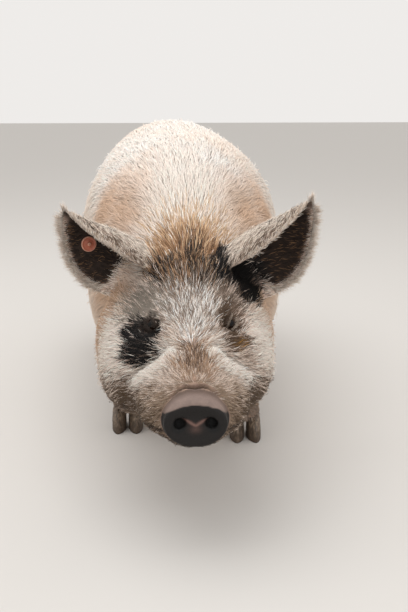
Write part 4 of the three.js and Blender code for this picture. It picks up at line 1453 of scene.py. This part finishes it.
    def paths(self, roots: Roots) -> Array:
        """The root, the middle and the tip of each tuft, laid over the skin.

        Args:
            roots: the tufts' rows.

        Returns:
            Points as (tuft, three, axis).
        """
        half = roots.lies * roots.lengths[:, None] / 2
        start = roots.points - roots.normals * 0.0006
        middle, middle_normals = self.nearest(roots.points + half)
        onwards = along_surface(roots.lies, middle_normals)
        tip, tip_normals = self.nearest(middle + onwards * roots.lengths[:, None] / 2)
        rise = roots.rises[:, None]
        draped = np.stack((start, middle + middle_normals * rise * 0.8, tip + tip_normals * rise), axis=1)
        free = np.stack((start, roots.points + half, roots.points + 2 * half), axis=1)
        follow = roots.follow[:, None, None]
        return draped * follow + free * (1 - follow)

    def tufts(self, name: str, roots: Roots) -> Object:
        """One piece of the coat: closed, bent, tapering tufts of three sides.

        Args:
            name: the piece's name.
            roots: the tufts' rows.

        Returns:
            The piece.
        """
        count = len(roots.points)
        path = self.paths(roots)
        far = 2 * LEVELS**2 - LEVELS
        spine = np.einsum("kr,nka->nra", (far - 2 * LEVELS + 1, 2 * LEVELS - 2 * far, far), path)
        ahead = unit(path[:, 2] - path[:, 0])
        across = unit(np.cross(roots.normals, ahead))
        outward = np.cross(ahead, across)
        wave = styled("wave", roots.kinds) * roots.lengths
        phase = self.rng.uniform(0, 2 * np.pi, (count, 1))
        swing = wave[:, None] * np.sin(2 * np.pi * 0.9 * LEVELS + phase) * np.sqrt(LEVELS)
        spine = spine + across[:, None] * swing[:, :, None]
        turns = (TURNS + np.pi / 2)[:, None]
        around = across[:, None] * np.cos(turns) + 0.5 * outward[:, None] * np.sin(turns)
        half_width = roots.widths[:, None, None, None] / 2 * FULLNESS[:, None, None]
        body = spine[:, :-1, None] + around[:, None] * half_width
        vertices = np.concatenate((body.reshape(count, -1, 3), spine[:, -1:]), axis=1)
        corners = (TUFT_FACES + TUFT_POINTS * np.arange(count)[:, None, None]).reshape(-1, 3)
        mesh = mesh_of(name, vertices.reshape(-1, 3), corners)
        self.soften(mesh, roots)
        self.paint(mesh, roots)
        self.map_tufts(mesh, roots, corners)
        piece = linked(name, mesh)
        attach(piece, "root")
        return piece

    @staticmethod
    def soften(mesh: Mesh, roots: Roots) -> None:
        """Turns the tufts' shading normals towards the skin's, so that the coat shades as one soft surface.

        Args:
            mesh: the tufts.
            roots: their rows.
        """
        own = np.empty(3 * len(mesh.vertices))
        mesh.vertex_normals.foreach_get("vector", own)
        own = own.reshape(len(roots.points), -1, 3)
        turned = unit(own + (styled("softness", roots.kinds)[:, None] * roots.normals)[:, None])
        mesh.normals_split_custom_set_from_vertices(turned.reshape(-1, 3))

    def paint(self, mesh: Mesh, roots: Roots) -> None:
        """Colours each tuft by its root's place, with painted shade where it leaves the skin.

        Args:
            mesh: the tufts.
            roots: their rows.
        """
        colours = self.markings.hair(roots, self.rng)
        # painted shade along each tuft, darkest at the root, slightly over its own colour at the tip
        light = 0.80 + 0.24 * np.sqrt(LEVELS)
        light = np.append(np.repeat(light[:-1], len(TURNS)), light[-1])
        store_colour(mesh, "hair_colour", (colours[:, None] * light[:, None]).reshape(-1, 3))

    def map_tufts(self, mesh: Mesh, roots: Roots, corners: Array) -> None:
        """Gives each tuft a small patch at its root's place on the unwrapped skin.

        Args:
            mesh: the tufts.
            roots: their rows.
            corners: the vertices of the mesh's triangles.
        """
        flat = self.unwrap.places(roots.points, roots.kinds)
        low, high = flat.min(0), flat.max(0)
        flat = 0.01 + 0.98 * (flat - low) / np.maximum(high - low, 1e-6)
        reach = self.patch / 2 * (1 - 0.9 * LEVELS[:-1])
        ring = np.stack((np.cos(TURNS), np.sin(TURNS)), axis=1)
        offsets = np.concatenate(((reach[:, None, None] * ring).reshape(-1, 2), np.zeros((1, 2))))
        places = (flat[:, None] + offsets).reshape(-1, 2)
        mesh.uv_layers.new(name="OFBake").data.foreach_set("uv", places[corners.ravel()].ravel())

    def build(self) -> list[Object]:
        """Grows the whole coat.

        Returns:
            Its pieces, each a slice from one side of the animal to the other.
        """
        roots = Roots.joined((self.scatter(), self.fringe(), self.lashes()))
        groups = (
            ("coat_body", (Hair.BODY,), "coat"),
            ("coat_face", (Hair.FACE, Hair.LASH), "face_coat"),
            ("coat_ears", (Hair.EAR_BACK, Hair.EAR_INSIDE, Hair.FRINGE), "ear_coat"),
            ("coat_legs", (Hair.LEG,), "coat"),
            ("coat_tail", (Hair.TAIL,), "coat"),
        )
        pieces = []
        for name, kinds, slot in groups:
            chosen = np.nonzero(np.isin(roots.kinds, kinds))[0]
            chosen = chosen[np.argsort(roots.points[chosen, 0], kind="stable")]
            parts = math.ceil(len(chosen) * len(TUFT_FACES) / self.most_triangles)
            for number, rows in enumerate(np.array_split(chosen, parts), 1):
                piece = self.tufts(f"{name}_{number}", roots.pick(rows))
                pieces.append(piece)
                LOG.info("%s: %d tufts", piece.name, len(rows))
        return pieces


def mesh_of(name: str, vertices: Array, triangles: Array) -> Mesh:
    """A smooth mesh of triangles from arrays.

    Args:
        name: the mesh's name.
        vertices: its points.
        triangles: the vertices of each triangle.

    Returns:
        The mesh.
    """
    mesh = bpy.data.meshes.new(name)
    mesh.vertices.add(len(vertices))
    mesh.vertices.foreach_set("co", vertices.ravel())
    mesh.loops.add(triangles.size)
    mesh.loops.foreach_set("vertex_index", triangles.ravel())
    mesh.polygons.add(len(triangles))
    mesh.polygons.foreach_set("loop_start", np.arange(0, triangles.size, 3))
    mesh.update(calc_edges=True)
    shade_smooth(mesh)
    return mesh


# ---------------------------------------------------------------- the finishes

class Nodes:
    """A node tree with a short way to add and link nodes."""

    def __init__(self, tree: NodeTree) -> None:
        """Keeps the tree."""
        self.tree = tree

    def add(self, kind: str, settings: dict[str, object] | None = None, **inputs: object) -> Node:
        """A new node.

        Args:
            kind: the node's type.
            settings: its own properties.
            inputs: its sockets by name, with underscores for spaces, each a socket to link or a constant.

        Returns:
            The node.
        """
        node = self.tree.nodes.new(f"ShaderNode{kind}")
        for name, value in (settings or {}).items():
            setattr(node, name, value)
        for name, value in inputs.items():
            self.feed(node.inputs[name.replace("_", " ")], value)
        return node

    def effect(self, group: NodeTree, **inputs: object) -> Node:
        """A node that stands for a group, with its inputs set."""
        return self.add("Group", {"node_tree": group}, **inputs)

    def stored(self, name: str, output: str = "Fac") -> NodeSocket:
        """A value or a colour stored on the mesh."""
        return self.add("Attribute", {"attribute_name": name}).outputs[output]

    def place(self) -> NodeSocket:
        """The place on the animal."""
        return self.add("TexCoord").outputs["Object"]

    def feed(self, socket: NodeSocket, value: object) -> None:
        """Links a socket to another, or sets its constant.

        Args:
            socket: the input.
            value: an output, a number, a colour or a code such as "#c9a48c".
        """
        if isinstance(value, NodeSocket):
            self.tree.links.new(value, socket)
        else:
            socket.default_value = (*linear(value), 1) if isinstance(value, str) else value

    def math(self, operation: str, *values: object) -> NodeSocket:
        """A sum, product or other operation on numbers.

        Args:
            operation: its name.
            values: sockets or numbers.

        Returns:
            The result.
        """
        node = self.add("Math", {"operation": operation})
        for socket, value in zip(node.inputs, values):
            self.feed(socket, value)
        return node.outputs[0]

    def blend(self, share: object, first: object, second: object, mode: str = "MIX") -> NodeSocket:
        """One colour laid over another.

        Args:
            share: how much of the second shows.
            first: the colour below.
            second: the colour above.
            mode: the way they mix.

        Returns:
            The result.
        """
        node = self.add("Mix", {"data_type": "RGBA", "blend_type": mode})
        for index, value in ((0, share), (6, first), (7, second)):
            self.feed(node.inputs[index], value)
        return node.outputs[2]

    def times(self, colour: object, factor: object) -> NodeSocket:
        """A colour multiplied by a factor."""
        return self.blend(1.0, colour, factor, "MULTIPLY")

    def span(
        self, value: object, low: float, high: float, to_low: float = 0.0, to_high: float = 1.0
    ) -> NodeSocket:
        """A number taken smoothly from one span to another.

        Args:
            value: the number.
            low: one end of its span.
            high: the other end.
            to_low: the result at the first end.
            to_high: the result at the other.

        Returns:
            The result.
        """
        return self.add(
            "MapRange", {"interpolation_type": "SMOOTHSTEP"},
            Value=value, From_Min=low, From_Max=high, To_Min=to_low, To_Max=to_high,
        ).outputs[0]


def new_group(
    name: str, inputs: dict[str, float], outputs: dict[str, str]
) -> tuple[NodeTree, Nodes, Node, Node]:
    """An empty shader node group.

    Args:
        name: the group's name.
        inputs: its numbers and their usual values.
        outputs: its outputs and their socket types.

    Returns:
        The group, its nodes, its input node and its output node.
    """
    tree = bpy.data.node_groups.new(name, "ShaderNodeTree")
    for label, value in inputs.items():
        tree.interface.new_socket(label, in_out="INPUT", socket_type="NodeSocketFloat").default_value = value
    for label, kind in outputs.items():
        tree.interface.new_socket(label, in_out="OUTPUT", socket_type=kind)
    nodes = Nodes(tree)
    return tree, nodes, tree.nodes.new("NodeGroupInput"), tree.nodes.new("NodeGroupOutput")


class Effects:
    """The effects that several finishes share, each made once."""

    def __init__(self) -> None:
        """Builds the groups."""
        self.mottle = self.make_mottle()
        self.soiling = self.make_soiling()
        self.pores = self.make_pores()

    @staticmethod
    def make_mottle() -> NodeTree:
        """Soft patches of lighter and darker, as a factor round 1.

        Returns:
            The group.
        """
        tree, nodes, start, end = new_group(
            "Mottle", {"Scale": 60.0, "Amount": 0.2, "Detail": 4.0}, {"Factor": "NodeSocketFloat"})
        noise = nodes.add("TexNoise", Vector=nodes.place(), Scale=start.outputs["Scale"],
                          Detail=start.outputs["Detail"], Roughness=0.6)
        centred = nodes.math("SUBTRACT", noise.outputs["Fac"], 0.5)
        swing = nodes.math("MULTIPLY", nodes.math("MULTIPLY", centred, 2.0), start.outputs["Amount"])
        nodes.feed(end.inputs["Factor"], nodes.math("ADD", swing, 1.0))
        return tree

    @staticmethod
    def make_soiling() -> NodeTree:
        """Dried mud: solid by the floor, breaking up into specks higher on the animal.

        Returns:
            The group.
        """
        tree, nodes, start, end = new_group(
            "Soiling", {"Height": 0.12, "Amount": 0.6, "Scale": 55.0},
            {"Mask": "NodeSocketFloat", "Crust": "NodeSocketFloat"})
        place = nodes.place()
        split = nodes.add("SeparateXYZ", Vector=place)
        low = nodes.math("DIVIDE", split.outputs["Z"], start.outputs["Height"])
        noise = nodes.add("TexNoise", Vector=place, Scale=start.outputs["Scale"], Detail=6.0, Roughness=0.65)
        edge = nodes.math("ADD", low, nodes.math("MULTIPLY", noise.outputs["Fac"], 1.4))
        mask = nodes.span(edge, 1.55, 0.75)
        nodes.feed(end.inputs["Mask"], nodes.math("MULTIPLY", mask, start.outputs["Amount"]))
        nodes.feed(end.inputs["Crust"], nodes.math("MULTIPLY", mask, noise.outputs["Fac"]))
        return tree

    @staticmethod
    def make_pores() -> NodeTree:
        """The fine leather grain of skin: cells of unequal size with soft furrows between them.

        Returns:
            The group.
        """
        tree, nodes, start, end = new_group(
            "Pores", {"Scale": 420.0, "Wrinkle Scale": 90.0, "Wrinkles": 0.5}, {"Height": "NodeSocketFloat"})
        place = nodes.place()
        cells = nodes.add("TexVoronoi", {"feature": "DISTANCE_TO_EDGE"}, Vector=place,
                          Scale=start.outputs["Scale"])
        furrows = nodes.span(cells.outputs["Distance"], 0.0, 0.25)
        broad = nodes.add("TexNoise", Vector=place, Scale=start.outputs["Wrinkle Scale"], Detail=3.0)
        share = nodes.math("MULTIPLY", broad.outputs["Fac"], start.outputs["Wrinkles"])
        nodes.feed(end.inputs["Height"], nodes.math("ADD", nodes.math("MULTIPLY", furrows, 0.5), share))
        return tree


def new_material(name: str) -> tuple[Material, Nodes, Node]:
    """A material with a Principled shader.

    Args:
        name: the material's name.

    Returns:
        The material, its nodes and its shader.
    """
    material = bpy.data.materials.new(name)
    material.use_nodes = True
    return material, Nodes(material.node_tree), material.node_tree.nodes["Principled BSDF"]


def finish_with(
    nodes: Nodes, shader: Node, colour: object, roughness: object, shine: float | None = None,
    relief: tuple[object, float, float] | None = None,
) -> None:
    """Feeds a finish's colour, roughness, shine and fine relief to its shader.

    Args:
        nodes: the material's nodes.
        shader: its shader.
        colour: the colour.
        roughness: the roughness.
        shine: the level of the mirror-like reflection, where it isn't the usual one.
        relief: the bump's height, strength and distance, where there is one.
    """
    nodes.feed(shader.inputs["Base Color"], colour)
    nodes.feed(shader.inputs["Roughness"], roughness)
    if shine is not None:
        nodes.feed(shader.inputs["Specular IOR Level"], shine)
    if relief:
        height, strength, distance = relief
        bump = nodes.add("Bump", Strength=strength, Distance=distance, Height=height)
        nodes.feed(shader.inputs["Normal"], bump.outputs["Normal"])


class Finishes(Effects):
    """The materials of all pieces."""

    def hair(self, name: str, roughness: float = 0.62, mud: float = 0.0) -> Material:
        """A part of the coat, which takes each tuft's own colour.

        Args:
            name: the material's name.
            roughness: the hair's roughness.
            mud: how much mud is on it, near the floor.

        Returns:
            The material.
        """
        material, nodes, shader = new_material(name)
        mottle = nodes.effect(self.mottle, Scale=240.0, Amount=0.12, Detail=3.0).outputs["Factor"]
        colour = nodes.times(nodes.stored("hair_colour", "Color"), mottle)
        if mud:
            crust = nodes.effect(self.soiling, Height=0.14, Amount=mud)
            colour = nodes.blend(crust.outputs["Mask"], colour, "#54463a")
        finish_with(nodes, shader, colour, nodes.math("MULTIPLY", mottle, roughness), 0.24)
        return material

    def skin(self) -> Material:
        """The skin: its painted colour, fine grain, mud on the feet, painted shade in the creases and a damp
        snout.

        Returns:
            The material.
        """
        material, nodes, shader = new_material("skin")
        mottle = nodes.effect(self.mottle, Scale=130.0, Amount=0.28).outputs["Factor"]
        speckle = nodes.effect(self.mottle, Scale=900.0, Amount=0.22).outputs["Factor"]
        colour = nodes.times(nodes.times(nodes.stored("skin_colour", "Color"), mottle), speckle)
        mud = nodes.effect(self.soiling, Height=0.10, Amount=0.8)
        colour = nodes.blend(mud.outputs["Mask"], colour, "#4c3f34")
        # painted shade in the bottoms of the creases
        colour = nodes.blend(nodes.span(nodes.stored("grime"), 0.1, 0.7, 0.0, 0.93), colour, "#1d1612")
        dry, damp = 0.66, 0.45
        rough = nodes.math("MULTIPLY", nodes.span(nodes.stored("damp"), 0.0, 1.0, dry, damp), mottle)
        pores = nodes.effect(self.pores, Scale=520.0).outputs["Height"]
        finish_with(nodes, shader, colour, rough, 0.28, (pores, 0.7, 0.0007))
        return material

    def eye(self) -> Material:
        """An eyeball: a black pupil, a dark brown iris with rays, a dull white and a wet surface.

        Returns:
            The material.
        """
        material, nodes, shader = new_material("eye")
        pupil, dark, iris, white = "#050404", "#140d09", "#24150c", "#5d4d44"
        out = nodes.stored("from_gaze")
        rays = nodes.add("TexNoise", Vector=nodes.stored("iris_place", "Vector"), Scale=9.0, Detail=4.0)
        rayed = nodes.blend(nodes.span(rays.outputs["Fac"], 0.35, 0.65), dark, iris)
        veins = nodes.effect(self.mottle, Scale=600.0, Amount=0.35).outputs["Factor"]
        colour = nodes.blend(nodes.span(out, 0.30, 0.38), pupil, rayed)
        colour = nodes.blend(nodes.span(out, 0.80, 0.90), colour, dark)
        colour = nodes.blend(nodes.span(out, 1.00, 1.15), colour, nodes.times(white, veins))
        finish_with(nodes, shader, colour, 0.10, 0.22)
        return material

    def horn(self) -> Material:
        """The horn of the hooves: streaks down the wall, and mud.

        Returns:
            The material.
        """
        material, nodes, shader = new_material("horn")
        long = nodes.add("Mapping", Vector=nodes.place(), Scale=(1.0, 1.0, 0.12)).outputs["Vector"]
        streaks = nodes.add("TexNoise", Vector=long, Scale=300.0, Detail=5.0).outputs["Fac"]
        colour = nodes.blend(nodes.span(streaks, 0.35, 0.65), "#3c322a", "#8a7662")
        colour = nodes.times(colour, nodes.effect(self.mottle, Scale=90.0, Amount=0.35).outputs["Factor"])
        mud = nodes.effect(self.soiling, Height=0.045, Amount=0.95, Scale=120.0)
        colour = nodes.blend(mud.outputs["Mask"], colour, "#4a3d32")
        rough = nodes.span(mud.outputs["Mask"], 0.0, 1.0, 0.42, 0.85)
        height = nodes.math("ADD", streaks, nodes.math("MULTIPLY", mud.outputs["Crust"], 2.0))
        finish_with(nodes, shader, colour, rough, relief=(height, 0.6, 0.0006))
        return material

    def tag(self) -> Material:
        """The scuffed orange plastic of the ear tag, pale where it is worn.

        Returns:
            The material.
        """
        material, nodes, shader = new_material("tag_plastic")
        mottle = nodes.effect(self.mottle, Scale=300.0, Amount=0.25).outputs["Factor"]
        wear = nodes.math("MULTIPLY", nodes.stored("edge"), mottle)
        colour = nodes.times(nodes.blend(nodes.span(wear, 0.45, 1.0), "#a65a42", "#cfa08a"), mottle)
        pores = nodes.effect(self.pores, Scale=900.0, Wrinkle_Scale=300.0).outputs["Height"]
        rough = nodes.math("MULTIPLY", mottle, 0.42)
        finish_with(nodes, shader, colour, rough, relief=(pores, 0.3, 0.0002))
        return material


# ---------------------------------------------------------------- eyes, hooves and tag

def turned_faces(rings: int, steps: int) -> Array:
    """The triangles of a turned body whose points are a pole, rings of equal steps and the other pole.

    Args:
        rings: how many rings.
        steps: how many points in each.

    Returns:
        The vertices of each triangle.
    """
    first = 1 + np.arange(steps)
    following = 1 + (np.arange(steps) + 1) % steps
    faces = [np.stack((np.zeros_like(first), following, first), 1)]
    for ring in range(rings - 1):
        a, b = ring * steps + first, ring * steps + following
        faces += [np.stack((a, b + steps, a + steps), 1), np.stack((a, b, b + steps), 1)]
    last = (rings - 1) * steps
    faces.append(np.stack((np.full(steps, 1 + rings * steps), last + first, last + following), 1))
    return np.concatenate(faces)


def finished(pieces: list[Object], material: Material) -> list[Object]:
    """Puts a material on each piece.

    Args:
        pieces: the pieces.
        material: their finish.

    Returns:
        The same pieces.
    """
    for piece in pieces:
        piece.data.materials.append(material)
    return pieces


@dataclass
class Eyes:
    """The two eyeballs, each with a bulging cornea, behind nearly closed lids."""

    anatomy: Anatomy
    finishes: Finishes
    lids: Lids = Lids()
    cornea: float = 0.0005  # how far it stands proud of the ball
    steps: int = 40

    def eyeball(self, side: str) -> Object:
        """One eyeball with its pole in the gaze.

        Args:
            side: left or right.

        Returns:
            The piece.
        """
        gaze = unit(np.array(self.lids.gaze) * (SIDES[side], 1, 1))
        across = unit(np.cross(gaze, UP))
        above = np.cross(across, gaze)
        out = np.linspace(0, np.pi, self.steps // 2 + 1)[1:-1]
        turn = np.linspace(0, 2 * np.pi, self.steps, endpoint=False)
        out, turn = (grid.ravel() for grid in np.meshgrid(out, turn, indexing="ij"))
        out = np.concatenate(((0.0,), out, (np.pi,)))
        turn = np.concatenate(((0.0,), turn, (0.0,)))
        ray = (np.cos(out)[:, None] * gaze + np.sin(out)[:, None]
               * (np.cos(turn)[:, None] * across + np.sin(turn)[:, None] * above))
        radius = self.anatomy.eye_radius * 0.985 + self.cornea * ramp(out, 0.72, 0.35)
        points = self.lids.centre(self.anatomy.eyes[side], SIDES[side]) + ray * radius[:, None]
        mesh = mesh_of(f"eyeball_{side}", points, turned_faces(self.steps // 2 - 1, self.steps))
        store_value(mesh, "from_gaze", out)
        place = np.stack((np.cos(turn) * 2, np.sin(turn) * 2, out * 0.6), axis=1)
        store_colour(mesh, "iris_place", place)
        piece = linked(f"eyeball_{side}", mesh)
        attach(piece, "root")
        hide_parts(f"eye_{side}")
        return piece

    def build(self) -> list[Object]:
        """Both eyeballs with their finish."""
        return finished([self.eyeball(side) for side in SIDES], self.finishes.eye())


@dataclass
class Hooves:
    """The hooves and dewclaws: rounded horn with growth rings and a flat sole."""

    finishes: Finishes
    ring_gap: float = 0.0052
    ring_depth: float = 0.0005
    sole: float = 0.0006  # below this height the horn stays flat on the floor

    def horn(self, node: str) -> Object:
        """A smoothed and ringed copy of one node, in its place.

        Args:
            node: the node's name.

        Returns:
            The piece.
        """
        mesh = bmesh.new()
        mesh.from_mesh(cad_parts[node].data)
        bmesh.ops.remove_doubles(mesh, verts=mesh.verts, dist=1e-5)
        crease = mesh.edges.layers.float.new("crease_edge")
        for edge in mesh.edges:
            if all(vertex.co.z < self.sole for vertex in edge.verts):
                edge[crease] = 0.8
        data = bpy.data.meshes.new(f"{node}_horn")
        mesh.to_mesh(data)
        mesh.free()
        piece = linked(f"{node}_horn", data)
        rounder = piece.modifiers.new("rounder", "SUBSURF")
        rounder.levels = rounder.render_levels = 2
        set_mesh(piece, evaluated(piece))
        cage = Cage(piece.data)
        if node.startswith("dewclaw"):
            self.point(cage)
        low = cage.points[:, 2] < self.sole
        phase = 2 * np.pi * (cage.points[:, 2] + 0.0008 * Ripple(0.02, 41)(cage.points)) / self.ring_gap
        height = self.ring_depth * (0.5 + 0.5 * np.sin(phase)) ** 2
        height = height * ramp(cage.points[:, 2], 0.004, 0.010)
        cage.points -= cage.normals() * height[:, None]
        cage.points[low, 2] = np.minimum(cage.points[low, 2], 0.0)
        cage.write()
        shade_smooth(piece.data)
        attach(piece, "root")
        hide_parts(node)
        return piece

    @staticmethod
    def point(cage: Cage) -> None:
        """Narrows a dewclaw to a blunt point at its lower end.

        Args:
            cage: its mesh.
        """
        up = cage.points[:, 2]
        share = (up - up.min()) / (up.max() - up.min())
        middle = cage.points[:, :2].mean(axis=0)
        narrowed = 0.30 + 0.70 * ramp(share, -0.15, 0.75)
        cage.points[:, :2] = middle + (cage.points[:, :2] - middle) * narrowed[:, None]

    def build(self) -> list[Object]:
        """All hooves and dewclaws with their finish."""
        names = [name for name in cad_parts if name.startswith(("hoof", "dewclaw"))]
        return finished([self.horn(name) for name in names], self.finishes.horn())


# the outline of the turned button from its face to its back, as shares of its radius:
# out from the axis, forward, and how worn it is there
BUTTON = np.array((
    (0.0, 0.60, 0.6), (0.10, 0.60, 0.6), (0.20, 0.58, 0.9), (0.25, 0.52, 0.4), (0.27, 0.42, 0),
    (0.36, 0.40, 0), (0.60, 0.38, 0), (0.74, 0.36, 0), (0.79, 0.40, 0), (0.85, 0.44, 0.5), (0.92, 0.43, 0.9),
    (0.97, 0.39, 0.9), (1.0, 0.31, 0.5), (0.98, 0.20, 0.3), (0.90, 0.08, 0), (0.55, -0.04, 0),
    (0.26, -0.10, 0), (0.22, -0.20, 0), (0.20, -0.40, 0), (0.0, -0.42, 0),
))


@dataclass
class EarTag:
    """The button tag: a domed disc with a raised rim and a stud, pinned through the ear."""

    finishes: Finishes
    steps: int = 48

    def build(self) -> list[Object]:
        """Turns the button about the axis of its node.

        Returns:
            The one piece.
        """
        node = np.array([vertex.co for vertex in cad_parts["ear_tag"].data.vertices])
        centre = (node.min(0) + node.max(0)) / 2
        _, _, axes = np.linalg.svd(node - node.mean(0))
        axis = axes[2] * (-1 if axes[2][1] > 0 else 1)
        across = unit(np.cross(axis, UP))
        above = np.cross(across, axis)
        radius = 0.5 * np.ptp((node - centre) @ across)
        turn = np.linspace(0, 2 * np.pi, self.steps, endpoint=False)
        ray = np.cos(turn)[:, None] * across + np.sin(turn)[:, None] * above
        rings = len(BUTTON) - 2
        rays = np.concatenate((ray[:1], np.tile(ray, (rings, 1)), ray[:1]))
        out, forward, worn = np.repeat(BUTTON, (1, *[self.steps] * rings, 1), axis=0).T[:, :, None]
        points = centre + radius * (forward * axis + out * rays)
        mesh = mesh_of("ear_tag_button", points, turned_faces(rings, self.steps))
        store_value(mesh, "edge", worn[:, 0])
        piece = linked("ear_tag_button", mesh)
        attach(piece, "root")
        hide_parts("ear_tag")
        return finished([piece], self.finishes.tag())


# ---------------------------------------------------------------- the studio

@dataclass
class Studio:
    """The camera, the soft light and the pale floor."""

    anatomy: Anatomy
    lens_mm: float = 50.0
    back_off: float = 1.12  # from the snout to the camera, along the floor
    height: float = 0.682
    pitch: float = math.radians(15)
    yaw: float = math.radians(3.15)
    offset: float = -0.05

    def camera(self) -> None:
        """A camera in front of the snout, looking slightly down."""
        data = bpy.data.cameras.new("camera")
        data.lens = self.lens_mm
        camera = bpy.data.objects.new("camera", data)
        camera.location = self.anatomy.scene(self.offset, -self.back_off, self.height)
        level = math.cos(self.pitch)
        heading = Vector((math.sin(self.yaw) * level, math.cos(self.yaw) * level, -math.sin(self.pitch)))
        camera.rotation_euler = heading.to_track_quat("-Z", "Y").to_euler()
        bpy.context.scene.collection.objects.link(camera)
        bpy.context.scene.camera = camera

    @staticmethod
    def lamp(name: str, place: Sequence[float], aim: Sequence[float], size: float, watts: float) -> None:
        """One square soft lamp.

        Args:
            name: its name.
            place: where it hangs.
            aim: the point it shines at.
            size: its width.
            watts: its power.
        """
        data = bpy.data.lights.new(name, "AREA")
        data.size, data.energy = size, watts
        lamp = bpy.data.objects.new(name, data)
        lamp.location = place
        lamp.rotation_euler = (Vector(aim) - Vector(place)).to_track_quat("-Z", "Y").to_euler()
        bpy.context.scene.collection.objects.link(lamp)

    @staticmethod
    def floor(half: float = 12.0) -> None:
        """A plain pale floor, which isn't part of the animal.

        Args:
            half: half its width.
        """
        mesh = bpy.data.meshes.new("floor")
        corners = [(-half, -half, 0), (half, -half, 0), (half, half, 0), (-half, half, 0)]
        mesh.from_pydata(corners, [], [(0, 1, 2, 3)])
        floor = linked("floor", mesh)
        material, nodes, shader = new_material("floor")
        finish_with(nodes, shader, "#cfccc8", 0.9)
        mesh.materials.append(material)

    def build(self) -> None:
        """Sets up the whole studio."""
        scene = bpy.context.scene
        scene.view_settings.view_transform = "Standard"
        scene.world = bpy.data.worlds.new("studio")
        scene.world.use_nodes = True
        sky = scene.world.node_tree.nodes["Background"]
        sky.inputs["Color"].default_value = (1.0, 0.975, 0.95, 1)
        sky.inputs["Strength"].default_value = 0.86
        self.camera()
        self.lamp("overhead", (-0.5, 0.1, 2.6), (0, 0.2, 0.4), 2.4, 38)
        self.lamp("front", (0.9, -2.6, 1.7), (0, -0.3, 0.35), 1.6, 15)
        self.floor()


# ---------------------------------------------------------------- the whole animal

def dress_skin(skin: Object, coat: Coat, markings: Markings, finishes: Finishes) -> None:
    """Paints the skin with the markings, and makes the snout damp.

    Args:
        skin: the skin.
        coat: the coat, which knows the skin's parts.
        markings: the colours.
        finishes: the materials.
    """
    colours = markings.skin(coat.cage.points, coat.parts, coat.inner, coat.rim)
    store_colour(skin.data, "skin_colour", colours)
    own = coat.anatomy.own(coat.cage.points)
    store_value(skin.data, "damp", ramp(own[:, 1], 0.014, 0.006))
    skin.data.materials.append(finishes.skin())


def dress_coat(pieces: list[Object], finishes: Finishes) -> None:
    """Gives each piece of the coat the finish of its part.

    Args:
        pieces: the pieces, named after their parts.
        finishes: the materials.
    """
    made = {
        "body": finishes.hair("body_hair"),
        "face": finishes.hair("face_hair", roughness=0.58),
        "ears": finishes.hair("ear_hair", roughness=0.60),
        "legs": finishes.hair("leg_hair", mud=0.75),
        "tail": finishes.hair("tail_hair"),
    }
    for piece in pieces:
        piece.data.materials.append(made[piece.name.split("_")[1]])


def main() -> None:
    """Builds the animal piece by piece, and the studio round it."""
    logging.basicConfig(level=logging.INFO, format="%(message)s")
    anatomy = Anatomy()
    finishes = Finishes()
    skin = Skin(anatomy).build()
    markings = Markings(anatomy)
    coat = Coat(anatomy, markings, skin)
    dress_skin(skin, coat, markings, finishes)
    pieces = [skin]
    hair = coat.build()
    dress_coat(hair, finishes)
    pieces += hair
    for group in (Eyes(anatomy, finishes), Hooves(finishes), EarTag(finishes)):
        pieces += group.build()
    for piece in pieces:
        LOG.info("%s: %d triangles", piece.name, len(piece.data.polygons))
    Studio(anatomy).build()


if __name__ == "__main__":
    main()
